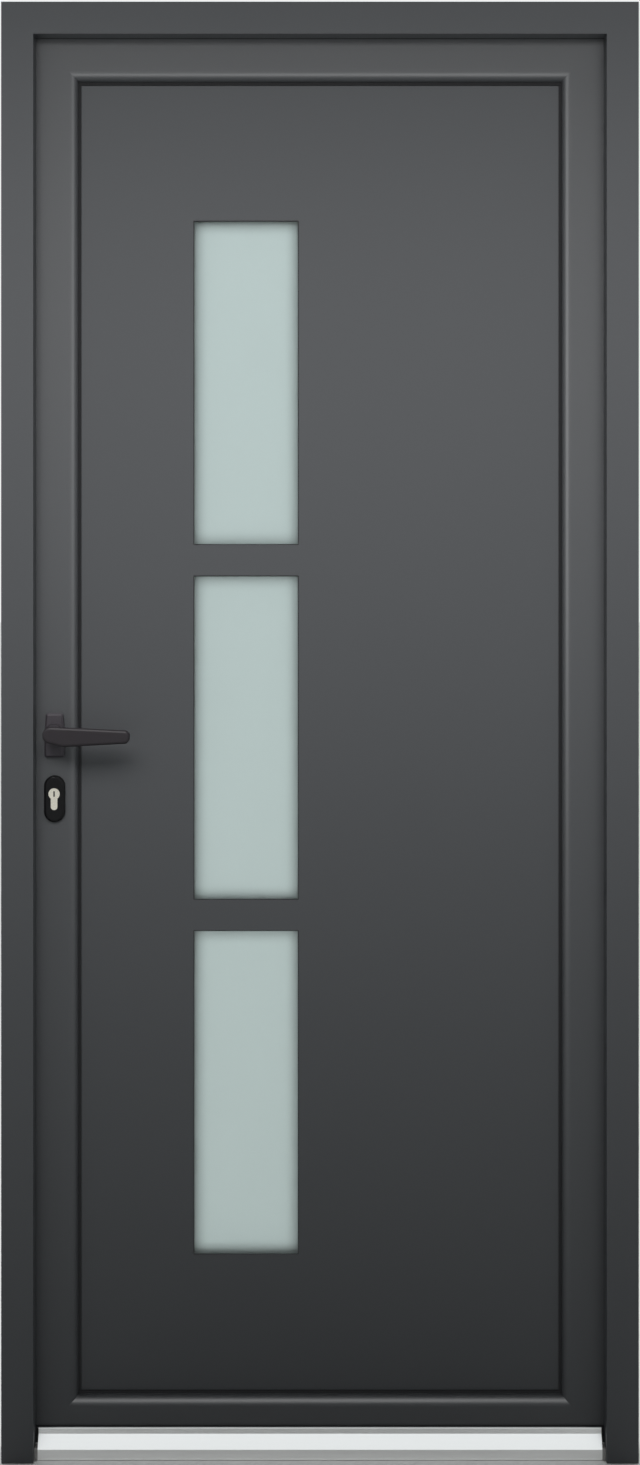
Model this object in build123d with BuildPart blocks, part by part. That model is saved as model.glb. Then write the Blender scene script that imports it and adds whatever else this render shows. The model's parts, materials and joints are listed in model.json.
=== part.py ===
"""Aluminium front door, hung in its own frame, with a multipoint lock.

Millimetres. +X runs to the right seen from outside, +Y runs indoors, +Z runs up.
The origin is at the foot of the frame, in the middle of its width and depth.
"""

import os
from build123d import *

os.makedirs("parts", exist_ok=True)

# Frame: overall size and bar section
frame_width = 960.0
frame_height = 2200.0
frame_depth = 70.0
frame_wall = 2.0
lip_width = 48.5
lip_depth = 25.0
rebate_width = 35.0
break_web = 4.0
frame_edge = 0.8

# Room between frame and leaf
outer_seal = 5.0
overlap_seal = 3.0
leaf_gap = 7.0
leaf_lift = 18.0

# Leaf: bar section
leaf_depth = 57.0
leaf_wall = 2.0
tube_width = 53.0
flat_width = 55.0
lip_round = 14.0
lip_land = 0.5
leaf_overlap = 14.0
groove_depth = 6.0
leaf_edge = 0.8

# Panel, glass and beads
panel_gasket = 3.0
bead_gasket = 2.5
gasket_show = 4.0
gasket_hold = 9.0
panel_packing = 3.0
skin_thickness = 2.0
pane_thickness = 4.0
pane_cavity = 14.0
pane_rebate = 7.0
light_width = 161.0
light_height = 496.0
light_gap = 46.5
light_offset = -113.0
spacer_width = 6.0
bead_wall = 1.5
bead_round = 4.0
packer_length = 100.0
packer_inset = 120.0

# Seals
seal_inner_reach = 48.0
seal_outer_reach = 38.0
seal_round = 2.0
sill_seal_low = 30.0
overlap_gasket_width = 6.0

# Threshold
nose_set_back = 10.0
nose_height = 16.0
slope_top = 35.5
upstand_thickness = 4.0
upstand_top = 44.5
floor_height = 10.0
sill_wall = 2.2
sill_end_gap = 5.0
end_cap_height = 18.0

# Corner cleats
cleat_leg = 75.0

# Hinges
hinge_inset = 17.0
hinge_set_back = 2.0
hinge_end_margin = 200.0
barrel_radius = 9.0
hinge_pin_radius = 5.0
knuckle_length = 38.0
knuckle_gap = 0.3
hinge_plate = 4.0
hinge_plate_width = 22.0
hinge_plate_length = 172.0
hinge_screw_reach = 73.0
hinge_web = 12.0
leaf_plate_width = 42.0
leaf_plate_length = 84.0
leaf_screw_reach = 30.0
leaf_plate_edge = 2.0
pin_cap = 3.0

# Lock: places
lock_inset = 13.0
lock_backset = 35.0
spindle_height = 1097.0
cylinder_drop = 92.0
lower_hook_height = 330.0
upper_hook_drop = 370.0
hook_backset = 23.0

# Lock: pieces
faceplate_width = 22.0
faceplate_thickness = 2.2
faceplate_margin = 95.0
faceplate_screw_inset = 12.0
rail_width = 17.4
rail_thickness = 2.5
rail_stroke = 20.0
rail_inset = 45.0
case_thickness = 16.0
case_wall = 1.5
case_above = 72.0
case_below = 43.0
bolt_thickness = 12.0
bolt_set_back = 0.3
latch_height = 18.0
latch_rise = 18.0
latch_length = 34.0
latch_bevel = 7.0
deadbolt_height = 25.0
deadbolt_rise = 22.0
deadbolt_length = 36.0
snib_rise = 56.0
snib_size = 8.0
snib_stem = 4.0
snib_proud = 1.8
snib_stroke = 6.0
snib_reach = 12.0
follower_radius = 10.5
follower_bearing = 8.0
follower_arm = 16.5
follower_arm_width = 6.0

# Hooks and their cases
hook_thickness = 8.0
hook_length = 44.0
hook_hub = 8.0
hook_half_width = 7.0
hook_beak = 9.0
hook_beak_width = 10.0
hook_pivot = 4.0
hook_case_below = 20.0
hook_case_above = 58.0

# Strikes and the boxes behind them
strike_width = 24.0
strike_thickness = 2.5
strike_end = 28.0
strike_screw_inset = 10.0
strike_room = 2.0
keep_wall = 1.2

# Profile cylinder
cylinder_head = 8.5
cylinder_stem = 5.0
cylinder_height = 33.0
cylinder_proud = 1.0
plug_radius = 6.45
plug_proud = 0.3
cam_radius = 13.6
cam_width = 9.0
cam_hub = 8.0
cam_finger = 7.0
cam_room = 0.5
keyway_width = 2.2
keyway_height = 8.5
keyway_depth = 6.0

# Handles
spindle_square = 8.0
neck_radius = 9.5
grip_stand_off = 38.0
grip_thickness = 14.0
grip_length = 118.0
grip_root_radius = 12.5
grip_belly_radius = 13.0
grip_belly_reach = 20.0
grip_belly_drop = 4.5
grip_tip_half = 10.0
grip_tip_drop = 2.7
grip_tip_round = 8.0
grip_edge = 4.5
rose_width = 30.0
rose_top_width = 26.0
rose_rise = 30.0
rose_drop = 37.0
rose_thickness = 9.0
rose_corner = 4.0
rose_bevel = 3.0
rose_edge = 0.8
collar_radius = 14.5
collar_height = 3.0
escutcheon_width = 32.0
escutcheon_height = 71.0
escutcheon_thickness = 8.0
escutcheon_drop = 8.0
escutcheon_dome = 5.0

# Screws and wall fixings
screw_head = 4.2
screw_head_height = 2.2
screw_shank = 2.1
screw_length = 14.0
screw_socket = 1.5
cylinder_screw = 2.4
fixing_hole = 5.2
fixing_outer_reach = 950.0
fixing_inner_reach = 400.0

# Clearances
running_fit = 0.05
slide_fit = 0.3
slot_room = 1.5
profile_room = 0.5
overrun = 5.0

# Places that follow from the sizes
half_width = frame_width / 2
face_y = -frame_depth / 2
back_y = frame_depth / 2
lip_back_y = face_y + lip_depth
web_y = -break_web / 2

leaf_inset = rebate_width + leaf_gap
leaf_half = half_width - leaf_inset
leaf_top = frame_height - leaf_inset
leaf_bottom = leaf_lift
leaf_mid = (leaf_bottom + leaf_top) / 2
leaf_front_y = lip_back_y + outer_seal
leaf_back_y = leaf_front_y + leaf_depth
flange_front_y = back_y + overlap_seal
lip_reach = flat_width + lip_round
lip_rear_y = leaf_front_y + lip_round + lip_land

panel_front_y = lip_rear_y + panel_gasket
core_thickness = pane_thickness + pane_cavity + pane_thickness
core_front_y = panel_front_y + skin_thickness
core_back_y = core_front_y + core_thickness
panel_back_y = core_back_y + skin_thickness
bead_front_y = panel_back_y + bead_gasket
panel_inset = tube_width + panel_packing
bead_reach = lip_reach + gasket_show

lock_y = back_y - lock_inset
lock_edge_x = -leaf_half
spindle_x = lock_edge_x + lock_backset
cylinder_z = spindle_height - cylinder_drop
hook_x = lock_edge_x + hook_backset
upper_hook_height = frame_height - upper_hook_drop
hook_heights = {"lower": lower_hook_height, "upper": upper_hook_height}
rebate_x = -half_width + rebate_width
groove_x = lock_edge_x + groove_depth
case_depth = tube_width - leaf_wall - groove_depth - slide_fit
rail_x = lock_edge_x + faceplate_thickness + slide_fit
latch_low = spindle_height + latch_rise
latch_high = latch_low + latch_height
deadbolt_low = cylinder_z + deadbolt_rise
deadbolt_high = deadbolt_low + deadbolt_height
snib_z = spindle_height + snib_rise
cylinder_screw_z = cylinder_z - (cylinder_height - cylinder_head + cam_radius + cam_room) / 2
faceplate_low = lower_hook_height - faceplate_margin
faceplate_high = upper_hook_height + faceplate_margin

hinge_x = half_width - hinge_inset
hinge_y = leaf_back_y - hinge_set_back
hinge_heights = [leaf_bottom + hinge_end_margin, leaf_mid, leaf_top - hinge_end_margin]
light_heights = {
    "lower": leaf_mid - light_height - light_gap,
    "middle": leaf_mid,
    "upper": leaf_mid + light_height + light_gap,
}


# Tools shared by the pieces


def keep(piece, name):
    """Name a finished piece and write it out."""
    piece.part.label = name
    export_step(piece.part, f"parts/{name}.step")


def about(middle, size):
    """The two limits of a size centred on a place."""
    return (middle - size / 2, middle + size / 2)


def block(x_span, y_span, z_span, mode=Mode.ADD):
    """A plain block between two limits along each axis."""
    spans = (x_span, y_span, z_span)
    sizes = [high - low for low, high in spans]
    middle = [(low + high) / 2 for low, high in spans]
    with Locations(tuple(middle)):
        Box(*sizes, mode=mode)


def bar(start, direction, radius, length, mode=Mode.ADD):
    """A round bar, or a round hole, from a start point along a direction."""
    with Locations(Plane(origin=start, z_dir=direction)):
        Cylinder(radius, length, align=(Align.CENTER, Align.CENTER, Align.MIN), mode=mode)


def screw_form(start, direction, mode=Mode.ADD):
    """A countersunk screw with its head flush at the start point, or the hole for it."""
    standing = (Align.CENTER, Align.CENTER, Align.MIN)
    with Locations(Plane(origin=start, z_dir=direction)):
        Cone(screw_head, screw_shank, screw_head_height, align=standing, mode=mode)
        Cylinder(screw_shank, screw_length, align=standing, mode=mode)


def screw(start, direction):
    """A countersunk screw with a hexagon socket."""
    screw_form(start, direction)
    with BuildSketch(Plane(origin=start, z_dir=direction)) as socket:
        RegularPolygon(screw_socket, side_count=6)
    extrude(socket.sketch, amount=screw_head_height, mode=Mode.SUBTRACT)


def seen_from_outside(y):
    """A sketch plane across the door at depth y: right is +X, up is +Z, out is -Y."""
    return Plane.XZ.offset(-y)


def edge_plane(side, reach, low, high):
    """The plane across the bar on one side of a rectangle, at the bar's first end.

    Its x runs inward from the rectangle's edge and its y indoors; the bars follow
    each other round the rectangle: up the left, along the top, down the right.
    """
    ends = {
        "left": ((-reach, 0, low), (1, 0, 0), (0, 0, 1)),
        "top": ((-reach, 0, high), (0, 0, -1), (1, 0, 0)),
        "right": ((reach, 0, high), (-1, 0, 0), (0, 0, -1)),
        "bottom": ((reach, 0, low), (0, 0, 1), (-1, 0, 0)),
    }
    origin, inward, run = ends[side]
    return Plane(origin=origin, x_dir=inward, z_dir=run)


def mitre(plane, length, first=True, last=True):
    """Cut the ends of a bar at 45 degrees, longest at its outer edge."""
    if first:
        split(bisect_by=Plane(plane.origin, z_dir=plane.z_dir - plane.x_dir), keep=Keep.TOP)
    if last:
        end = plane.origin + plane.z_dir * length
        split(bisect_by=Plane(end, z_dir=-plane.z_dir - plane.x_dir), keep=Keep.TOP)


# Frame


def frame_section(plane):
    """Hollow jamb and head section: a tube with a lip outside and an insulating web."""
    with BuildSketch(plane) as section:
        with BuildLine():
            Polyline(
                (0, face_y),
                (lip_width, face_y),
                (lip_width, lip_back_y),
                (rebate_width, lip_back_y),
                (rebate_width, back_y),
                (0, back_y),
                close=True,
            )
        make_face()
        offset(amount=-frame_wall, kind=Kind.INTERSECTION, mode=Mode.SUBTRACT)
        with Locations((0, web_y)):
            Rectangle(rebate_width, break_web, align=(Align.MIN, Align.MIN))
        corners = section.face().outer_wire().vertices().sort_by_distance((rebate_width, lip_back_y, 0))
        fillet(corners[1:], frame_edge)
    return section.sketch


def frame_bar(side, length, first=True, last=True):
    """One bar of the frame with its mitred ends."""
    plane = edge_plane(side, half_width, 0, frame_height)
    extrude(frame_section(plane), amount=length)
    mitre(plane, length, first, last)


def fixing_holes(edge_x, inward):
    """Four holes for wall screws, right through a jamb along X."""
    for reach in (fixing_outer_reach, fixing_inner_reach):
        for sign in (-1, 1):
            height = frame_height / 2 + sign * reach
            start = (edge_x - inward * overrun, (break_web / 2 + back_y) / 2, height)
            bar(start, (inward, 0, 0), fixing_hole, rebate_width + overrun * 2, Mode.SUBTRACT)


def hook_slot_span(height):
    """Lower and upper limit of the slot that a hook swings through."""
    tip = hook_length + hook_beak
    return (height - hook_half_width - slot_room, height + tip - hook_half_width - slot_room * 2)


def strike_slots():
    """Slots of the three strikes: node name to a list of height spans."""
    latch = (latch_low - strike_room, latch_high + strike_room)
    deadbolt = (deadbolt_low - strike_room, deadbolt_high + strike_room)
    slots = {"centre_strike": [deadbolt, latch]}
    for name, height in hook_heights.items():
        slots[f"{name}_strike"] = [hook_slot_span(height)]
    return slots


def keep_pockets():
    """Height spans of the pockets behind the strikes; a hook's beak drops below its slot."""
    pockets = list(strike_slots()["centre_strike"])
    for height in hook_heights.values():
        low, high = hook_slot_span(height)
        pockets.append((low - hook_beak, high))
    return pockets


def keep_outside(span):
    """Width and height limits of the box round one pocket."""
    low, high = span
    width = bolt_thickness + strike_room * 2 + keep_wall * 2
    return about(lock_y, width), (low - keep_wall, high + keep_wall)


def strike_span(spans):
    """Lower and upper end of the strike plate round its slots."""
    return (min(low for low, high in spans) - strike_end, max(high for low, high in spans) + strike_end)


def strike_screws(spans):
    """Start points of the two screws of a strike."""
    low, high = strike_span(spans)
    face_x = rebate_x + strike_thickness
    return [(face_x, lock_y, low + strike_screw_inset), (face_x, lock_y, high - strike_screw_inset)]


def cut_bolt_slots(x_span, spans):
    """Cut the slots for the bolts through whatever lies between two places along X."""
    for span in spans:
        block(x_span, about(lock_y, bolt_thickness + strike_room * 2), span, mode=Mode.SUBTRACT)


def frame_hinge_screws():
    """Start points of the screws that hold the hinge plates to the frame."""
    plate_face = back_y + hinge_plate
    return [(hinge_x, plate_face, z + s * hinge_screw_reach) for z in hinge_heights for s in (-1, 1)]


with BuildPart() as frame_head:
    frame_bar("top", frame_width)
keep(frame_head, "frame_head")

with BuildPart() as lock_jamb:
    frame_bar("left", frame_height, first=False)
    fixing_holes(-half_width, 1)
    through_wall = (rebate_x - frame_wall - slot_room, rebate_x + overrun)
    for span in keep_pockets():
        block(through_wall, *keep_outside(span), Mode.SUBTRACT)
    for spans in strike_slots().values():
        for start in strike_screws(spans):
            screw_form(start, (-1, 0, 0), Mode.SUBTRACT)
keep(lock_jamb, "lock_jamb")

with BuildPart() as hinge_jamb:
    frame_bar("right", frame_height, last=False)
    fixing_holes(half_width, -1)
    for start in frame_hinge_screws():
        screw_form(start, (0, -1, 0), Mode.SUBTRACT)
keep(hinge_jamb, "hinge_jamb")

with BuildPart() as frame_corner_cleats:
    inner = frame_wall + slide_fit
    outer = rebate_width - frame_wall - slide_fit
    depth = (break_web / 2 + slide_fit, back_y - frame_wall - slide_fit)
    for sign in (-1, 1):
        with BuildSketch(seen_from_outside(depth[1])):
            with BuildLine():
                Polyline(
                    (sign * (half_width - inner), frame_height - inner),
                    (sign * (half_width - inner - cleat_leg), frame_height - inner),
                    (sign * (half_width - inner - cleat_leg), frame_height - outer),
                    (sign * (half_width - outer), frame_height - outer),
                    (sign * (half_width - outer), frame_height - inner - cleat_leg),
                    (sign * (half_width - inner), frame_height - inner - cleat_leg),
                    close=True,
                )
            make_face()
        extrude(amount=depth[1] - depth[0])
keep(frame_corner_cleats, "frame_corner_cleats")

with BuildPart() as frame_gasket:
    low = sill_seal_low
    high = frame_height - seal_outer_reach
    with BuildSketch(seen_from_outside(leaf_front_y)):
        with Locations((0, (low + high) / 2)):
            Rectangle((half_width - seal_outer_reach) * 2, high - low)
        low = upstand_top
        high = frame_height - seal_inner_reach
        with Locations((0, (low + high) / 2)):
            Rectangle((half_width - seal_inner_reach) * 2, high - low, mode=Mode.SUBTRACT)
    extrude(amount=outer_seal)
    rim = frame_gasket.edges().filter_by(Axis.Y, reverse=True).group_by(Axis.Y)[0]
    seal_middle = half_width - (seal_inner_reach + seal_outer_reach) / 2
    inside = rim.filter_by(lambda e: abs(e.center().X) < seal_middle)
    fillet(inside.filter_by(lambda e: upstand_top <= e.center().Z < high + seal_round), seal_round)
keep(frame_gasket, "frame_gasket")

# Threshold


def nose_outline(plane, height):
    """The nose of the threshold, cut off flat at a height."""
    front = face_y + nose_set_back
    riser = lip_back_y - upstand_thickness
    rise_share = (height - nose_height) / (slope_top - nose_height)
    with BuildSketch(plane) as outline:
        with BuildLine():
            Polyline(
                (front, 0),
                (front, nose_height),
                (front + (riser - front) * rise_share, height),
                (lip_back_y, height),
                (lip_back_y, 0),
                close=True,
            )
        make_face()
    return outline.sketch


sill_half = half_width - lip_width - sill_end_gap
with BuildPart() as threshold:
    sill_plane = Plane(origin=(-sill_half, 0, 0), x_dir=(0, 1, 0), z_dir=(1, 0, 0))
    with BuildSketch(sill_plane):
        add(nose_outline(Plane.XY, slope_top))
        offset(amount=-sill_wall, kind=Kind.INTERSECTION, mode=Mode.SUBTRACT)
    extrude(amount=sill_half * 2)
    block((-sill_half, sill_half), (lip_back_y - upstand_thickness, lip_back_y), (slope_top, upstand_top))
    crest = threshold.edges().filter_by(Axis.X).group_by(Axis.Z)[-1]
    fillet(crest, upstand_thickness / 4)
    reach = half_width - rebate_width
    block((-reach, reach), (lip_back_y, back_y), (0, floor_height))
    floor_hollow = (lip_back_y + sill_wall, back_y - sill_wall)
    block((-reach, reach), floor_hollow, (sill_wall, floor_height - sill_wall), Mode.SUBTRACT)
keep(threshold, "threshold")

with BuildPart() as threshold_end_caps:
    for edge_x in (-half_width + lip_width, sill_half):
        cap_plane = Plane(origin=(edge_x, 0, 0), x_dir=(0, 1, 0), z_dir=(1, 0, 0))
        extrude(nose_outline(cap_plane, end_cap_height), amount=sill_end_gap)
keep(threshold_end_caps, "threshold_end_caps")

# Strikes, frame screws and the frame's half of the hinges

with BuildPart() as keep_boxes:
    box_back = -half_width + frame_wall
    for span in keep_pockets():
        block((box_back, rebate_x), *keep_outside(span))
    cut_bolt_slots((box_back + keep_wall, rebate_x + overrun), keep_pockets())
keep(keep_boxes, "keep_boxes")

for name, spans in strike_slots().items():
    with BuildPart() as strike:
        plate = (rebate_x, rebate_x + strike_thickness)
        block(plate, about(lock_y, strike_width), strike_span(spans))
        fillet(strike.edges().filter_by(Axis.X), strike_width / 8)
        cut_bolt_slots((rebate_x - overrun, rebate_x + overrun), spans)
        for start in strike_screws(spans):
            screw_form(start, (-1, 0, 0), Mode.SUBTRACT)
    keep(strike, name)

with BuildPart() as frame_screws:
    for spans in strike_slots().values():
        for start in strike_screws(spans):
            screw(start, (-1, 0, 0))
    for start in frame_hinge_screws():
        screw(start, (0, -1, 0))
keep(frame_screws, "frame_screws")

knuckle_pitch = knuckle_length + knuckle_gap
barrel_half = knuckle_length / 2 + knuckle_pitch

with BuildPart() as hinge_frame_plates:
    for height in hinge_heights:
        plate_depth = (back_y, back_y + hinge_plate)
        block(about(hinge_x, hinge_plate_width), plate_depth, about(height, hinge_plate_length))
        for sign in (-1, 1):
            knuckle_z = height + sign * knuckle_pitch
            block(about(hinge_x, hinge_web), (back_y, hinge_y), about(knuckle_z, knuckle_length))
            start = (hinge_x, hinge_y, knuckle_z - knuckle_length / 2)
            bar(start, (0, 0, 1), barrel_radius, knuckle_length)
        bore_start = (hinge_x, hinge_y, height - barrel_half)
        bar(bore_start, (0, 0, 1), hinge_pin_radius, barrel_half * 2, Mode.SUBTRACT)
    for start in frame_hinge_screws():
        screw_form(start, (0, -1, 0), Mode.SUBTRACT)
keep(hinge_frame_plates, "hinge_frame_plates")

with BuildPart() as hinge_pins:
    for height in hinge_heights:
        bar((hinge_x, hinge_y, height - barrel_half), (0, 0, 1), hinge_pin_radius, barrel_half * 2)
        for sign in (-1, 1):
            cap_start = (hinge_x, hinge_y, height + sign * barrel_half)
            bar(cap_start, (0, 0, sign), barrel_radius, pin_cap)
    caps = hinge_pins.edges().filter_by(GeomType.CIRCLE).filter_by(lambda e: e.radius > hinge_pin_radius)
    outer_rims = [
        edge
        for edge in caps
        if min(abs(abs(edge.center().Z - z) - barrel_half - pin_cap) for z in hinge_heights) < running_fit
    ]
    fillet(outer_rims, pin_cap / 2)
keep(hinge_pins, "hinge_pins")

# Leaf bars


def leaf_section(plane, with_flange):
    """Hollow leaf section: a tube with a rounded lip outside, a hardware groove and a flange inside."""
    seat = about(lock_y, faceplate_width)
    groove = about(lock_y, rail_width + slide_fit * 2)
    with BuildSketch(plane) as section:
        with BuildLine():
            Polyline((0, seat[1]), (faceplate_thickness, seat[1]), (faceplate_thickness, groove[1]))
            Polyline((faceplate_thickness, groove[1]), (groove_depth, groove[1]), (groove_depth, groove[0]))
            Polyline((groove_depth, groove[0]), (faceplate_thickness, groove[0]))
            Polyline((faceplate_thickness, groove[0]), (faceplate_thickness, seat[0]), (0, seat[0]))
            Polyline((0, seat[0]), (0, leaf_front_y), (flat_width, leaf_front_y))
            CenterArc((flat_width, leaf_front_y + lip_round), lip_round, -90, 90)
            Polyline((lip_reach, lip_rear_y - lip_land), (lip_reach, lip_rear_y), (tube_width, lip_rear_y))
            Polyline((tube_width, lip_rear_y), (tube_width, leaf_back_y), (0, leaf_back_y))
            Line((0, leaf_back_y), (0, seat[1]))
        make_face()
        if with_flange:
            with Locations((-leaf_overlap, flange_front_y)):
                corner = (Align.MIN, Align.MIN)
                Rectangle(leaf_overlap, leaf_back_y - flange_front_y, align=corner)
        offset(amount=-leaf_wall, kind=Kind.INTERSECTION, mode=Mode.SUBTRACT)
        with Locations((0, lip_rear_y - break_web)):
            Rectangle(tube_width, break_web, align=(Align.MIN, Align.MIN))
        rim = section.face().outer_wire().vertices()
        fillet(rim.group_by(Axis.Y)[0].sort_by(Axis.X)[0], leaf_edge)
        fillet(rim.group_by(Axis.Y)[-1].sort_by(Axis.X)[0], leaf_edge)
    return section.sketch


def leaf_bar(side, length, with_flange=True):
    """One bar of the leaf with its mitred ends, square at the foot."""
    plane = edge_plane(side, leaf_half, leaf_bottom, leaf_top)
    section = leaf_section(plane.offset(-leaf_overlap), with_flange)
    extrude(section, amount=length + leaf_overlap * 2)
    mitre(plane, length)
    split(bisect_by=Plane.XY.offset(leaf_bottom), keep=Keep.TOP)


def profile_outline(y, room=0):
    """The outline of a profile cylinder, round above and slim below, seen from outside."""
    stem_low = cylinder_z - (cylinder_height - cylinder_head - cylinder_stem)
    with BuildSketch(seen_from_outside(y)) as outline:
        with Locations((spindle_x, cylinder_z)):
            Circle(cylinder_head + room)
        with Locations((spindle_x, (cylinder_z + stem_low) / 2)):
            Rectangle((cylinder_stem + room) * 2, cylinder_z - stem_low)
        with Locations((spindle_x, stem_low)):
            Circle(cylinder_stem + room)
    return outline.sketch


def leaf_hinge_screws():
    """Start points of the screws that hold the hinge plates to the leaf."""
    x = leaf_half + leaf_overlap - leaf_plate_edge - leaf_plate_width / 2
    face = leaf_back_y + hinge_plate
    return [(x, face, z + s * leaf_screw_reach) for z in hinge_heights for s in (-1, 1)]


def faceplate_screws():
    """Start points of the faceplate's screws: at its ends and beyond the lock case."""
    heights = [
        faceplate_low + faceplate_screw_inset,
        cylinder_z - case_below - faceplate_screw_inset,
        spindle_height + case_above + faceplate_screw_inset,
        faceplate_high - faceplate_screw_inset,
    ]
    return [(lock_edge_x, lock_y, height) for height in heights]


def case_spans():
    """Heights taken up by the lock case and the two hook cases."""
    spans = [(cylinder_z - case_below, spindle_height + case_above)]
    for height in hook_heights.values():
        spans.append((height - hook_case_below, height + hook_case_above))
    return spans


leaf_height = leaf_top - leaf_bottom
leaf_width = leaf_half * 2

with BuildPart() as lock_stile:
    leaf_bar("left", leaf_height)
    for span in case_spans():
        floor = (groove_x - overrun / 2, groove_x + leaf_wall + overrun)
        block(floor, about(lock_y, case_thickness + slide_fit), span, Mode.SUBTRACT)
    neck_room = neck_radius + slot_room
    through = leaf_depth + overrun * 2
    bar((spindle_x, leaf_front_y - overrun, spindle_height), (0, 1, 0), neck_room, through, Mode.SUBTRACT)
    extrude(profile_outline(leaf_back_y + overrun, profile_room), amount=through, mode=Mode.SUBTRACT)
    for start in faceplate_screws():
        screw_form(start, (1, 0, 0), Mode.SUBTRACT)
keep(lock_stile, "lock_stile")

with BuildPart() as hinge_stile:
    leaf_bar("right", leaf_height)
    for start in leaf_hinge_screws():
        screw_form(start, (0, -1, 0), Mode.SUBTRACT)
keep(hinge_stile, "hinge_stile")

with BuildPart() as top_rail:
    leaf_bar("top", leaf_width)
keep(top_rail, "top_rail")

with BuildPart() as bottom_rail:
    leaf_bar("bottom", leaf_width, with_flange=False)
keep(bottom_rail, "bottom_rail")

with BuildPart() as leaf_corner_cleats:
    inner = groove_depth + leaf_wall + slide_fit
    outer = tube_width - leaf_wall - slide_fit
    depth = (lip_rear_y + slide_fit, leaf_back_y - leaf_wall - slide_fit)
    for side in (-1, 1):
        for edge_z, up in ((leaf_bottom, 1), (leaf_top, -1)):
            with BuildSketch(seen_from_outside(depth[1])):
                with BuildLine():
                    Polyline(
                        (side * (leaf_half - inner), edge_z + up * inner),
                        (side * (leaf_half - inner - cleat_leg), edge_z + up * inner),
                        (side * (leaf_half - inner - cleat_leg), edge_z + up * outer),
                        (side * (leaf_half - outer), edge_z + up * outer),
                        (side * (leaf_half - outer), edge_z + up * (inner + cleat_leg)),
                        (side * (leaf_half - inner), edge_z + up * (inner + cleat_leg)),
                        close=True,
                    )
                make_face()
            extrude(amount=depth[1] - depth[0])
keep(leaf_corner_cleats, "leaf_corner_cleats")

# Seals of the leaf

with BuildPart() as leaf_gasket:
    outer_x = leaf_half + leaf_overlap
    outer_z = leaf_top + leaf_overlap
    inner_x = outer_x - overlap_gasket_width
    inner_z = outer_z - overlap_gasket_width
    block((-outer_x, outer_x), (back_y, flange_front_y), (leaf_bottom, outer_z))
    block((-inner_x, inner_x), (back_y - overrun, flange_front_y + overrun), (0, inner_z), Mode.SUBTRACT)
keep(leaf_gasket, "leaf_gasket")

with BuildPart() as bottom_seal:
    seal_half = leaf_half - tube_width
    seal_low = floor_height + slide_fit
    block((-seal_half, seal_half), about(lock_y, rail_width), (seal_low, leaf_bottom + groove_depth))
keep(bottom_seal, "bottom_seal")

# Panel with its three glass lights


def panel_plate(inset, y, thickness, window_margin):
    """A sheet of the panel, standing at depth y, with three windows cut through it."""
    with BuildSketch(seen_from_outside(y + thickness)) as sheet:
        with Locations((0, leaf_mid)):
            Rectangle((leaf_half - inset) * 2, leaf_height - inset * 2)
        for height in light_heights.values():
            with Locations((light_offset, height)):
                margin = window_margin * 2
                Rectangle(light_width + margin, light_height + margin, mode=Mode.SUBTRACT)
    extrude(sheet.sketch, amount=thickness)


def ring(outer_inset, inner_inset, y, thickness):
    """A flat strip all round the panel, between two distances from the leaf's edge."""
    with BuildSketch(seen_from_outside(y + thickness)) as strip:
        with Locations((0, leaf_mid)):
            Rectangle((leaf_half - outer_inset) * 2, leaf_height - outer_inset * 2)
            inner = (leaf_half - inner_inset) * 2
            Rectangle(inner, leaf_height - inner_inset * 2, mode=Mode.SUBTRACT)
    extrude(strip.sketch, amount=thickness)


with BuildPart() as panel_outer_skin:
    panel_plate(panel_inset, panel_front_y, skin_thickness, 0)
keep(panel_outer_skin, "panel_outer_skin")

with BuildPart() as panel_core:
    panel_plate(panel_inset, core_front_y, core_thickness, pane_rebate)
keep(panel_core, "panel_core")

with BuildPart() as panel_inner_skin:
    panel_plate(panel_inset, core_back_y, skin_thickness, 0)
keep(panel_inner_skin, "panel_inner_skin")

with BuildPart() as outer_panel_gasket:
    ring(lip_reach - gasket_hold, bead_reach, lip_rear_y, panel_gasket)
keep(outer_panel_gasket, "outer_panel_gasket")

with BuildPart() as inner_panel_gasket:
    ring(lip_reach - gasket_hold, bead_reach, panel_back_y, bead_gasket)
keep(inner_panel_gasket, "inner_panel_gasket")

pane_width = light_width + pane_rebate * 2
pane_height = light_height + pane_rebate * 2
pane_places = {"frosted_pane": core_front_y, "inner_pane": core_back_y - pane_thickness}
for level, height in light_heights.items():
    for kind, y in pane_places.items():
        with BuildPart() as pane:
            block(about(light_offset, pane_width), (y, y + pane_thickness), about(height, pane_height))
        keep(pane, f"{level}_{kind}")

with BuildPart() as glass_spacers:
    cavity = (core_front_y + pane_thickness, core_back_y - pane_thickness)
    for height in light_heights.values():
        block(about(light_offset, pane_width), cavity, about(height, pane_height))
        clear_x = about(light_offset, pane_width - spacer_width * 2)
        clear_z = about(height, pane_height - spacer_width * 2)
        block(clear_x, cavity, clear_z, Mode.SUBTRACT)
keep(glass_spacers, "glass_spacers")

with BuildPart() as setting_blocks:
    foot = (leaf_bottom + tube_width, leaf_bottom + panel_inset)
    for side in (-1, 1):
        middle = side * (leaf_half - panel_inset - packer_inset)
        block(about(middle, packer_length), (panel_front_y, panel_back_y), foot)
keep(setting_blocks, "setting_blocks")

# Glazing beads, clipped in from indoors


def glazing_bead(side, length):
    """One hollow bead along the inside of the panel, mitred at its ends."""
    plane = edge_plane(side, leaf_half, leaf_bottom, leaf_top)
    with BuildSketch(plane) as section:
        with Locations((tube_width, bead_front_y)):
            corner = (Align.MIN, Align.MIN)
            Rectangle(bead_reach - tube_width, leaf_back_y - bead_front_y, align=corner)
        fillet(section.vertices().group_by(Axis.X)[-1].sort_by(Axis.Y)[-1], bead_round)
        offset(amount=-bead_wall, kind=Kind.INTERSECTION, mode=Mode.SUBTRACT)
    extrude(section.sketch, amount=length)
    mitre(plane, length)


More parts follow.
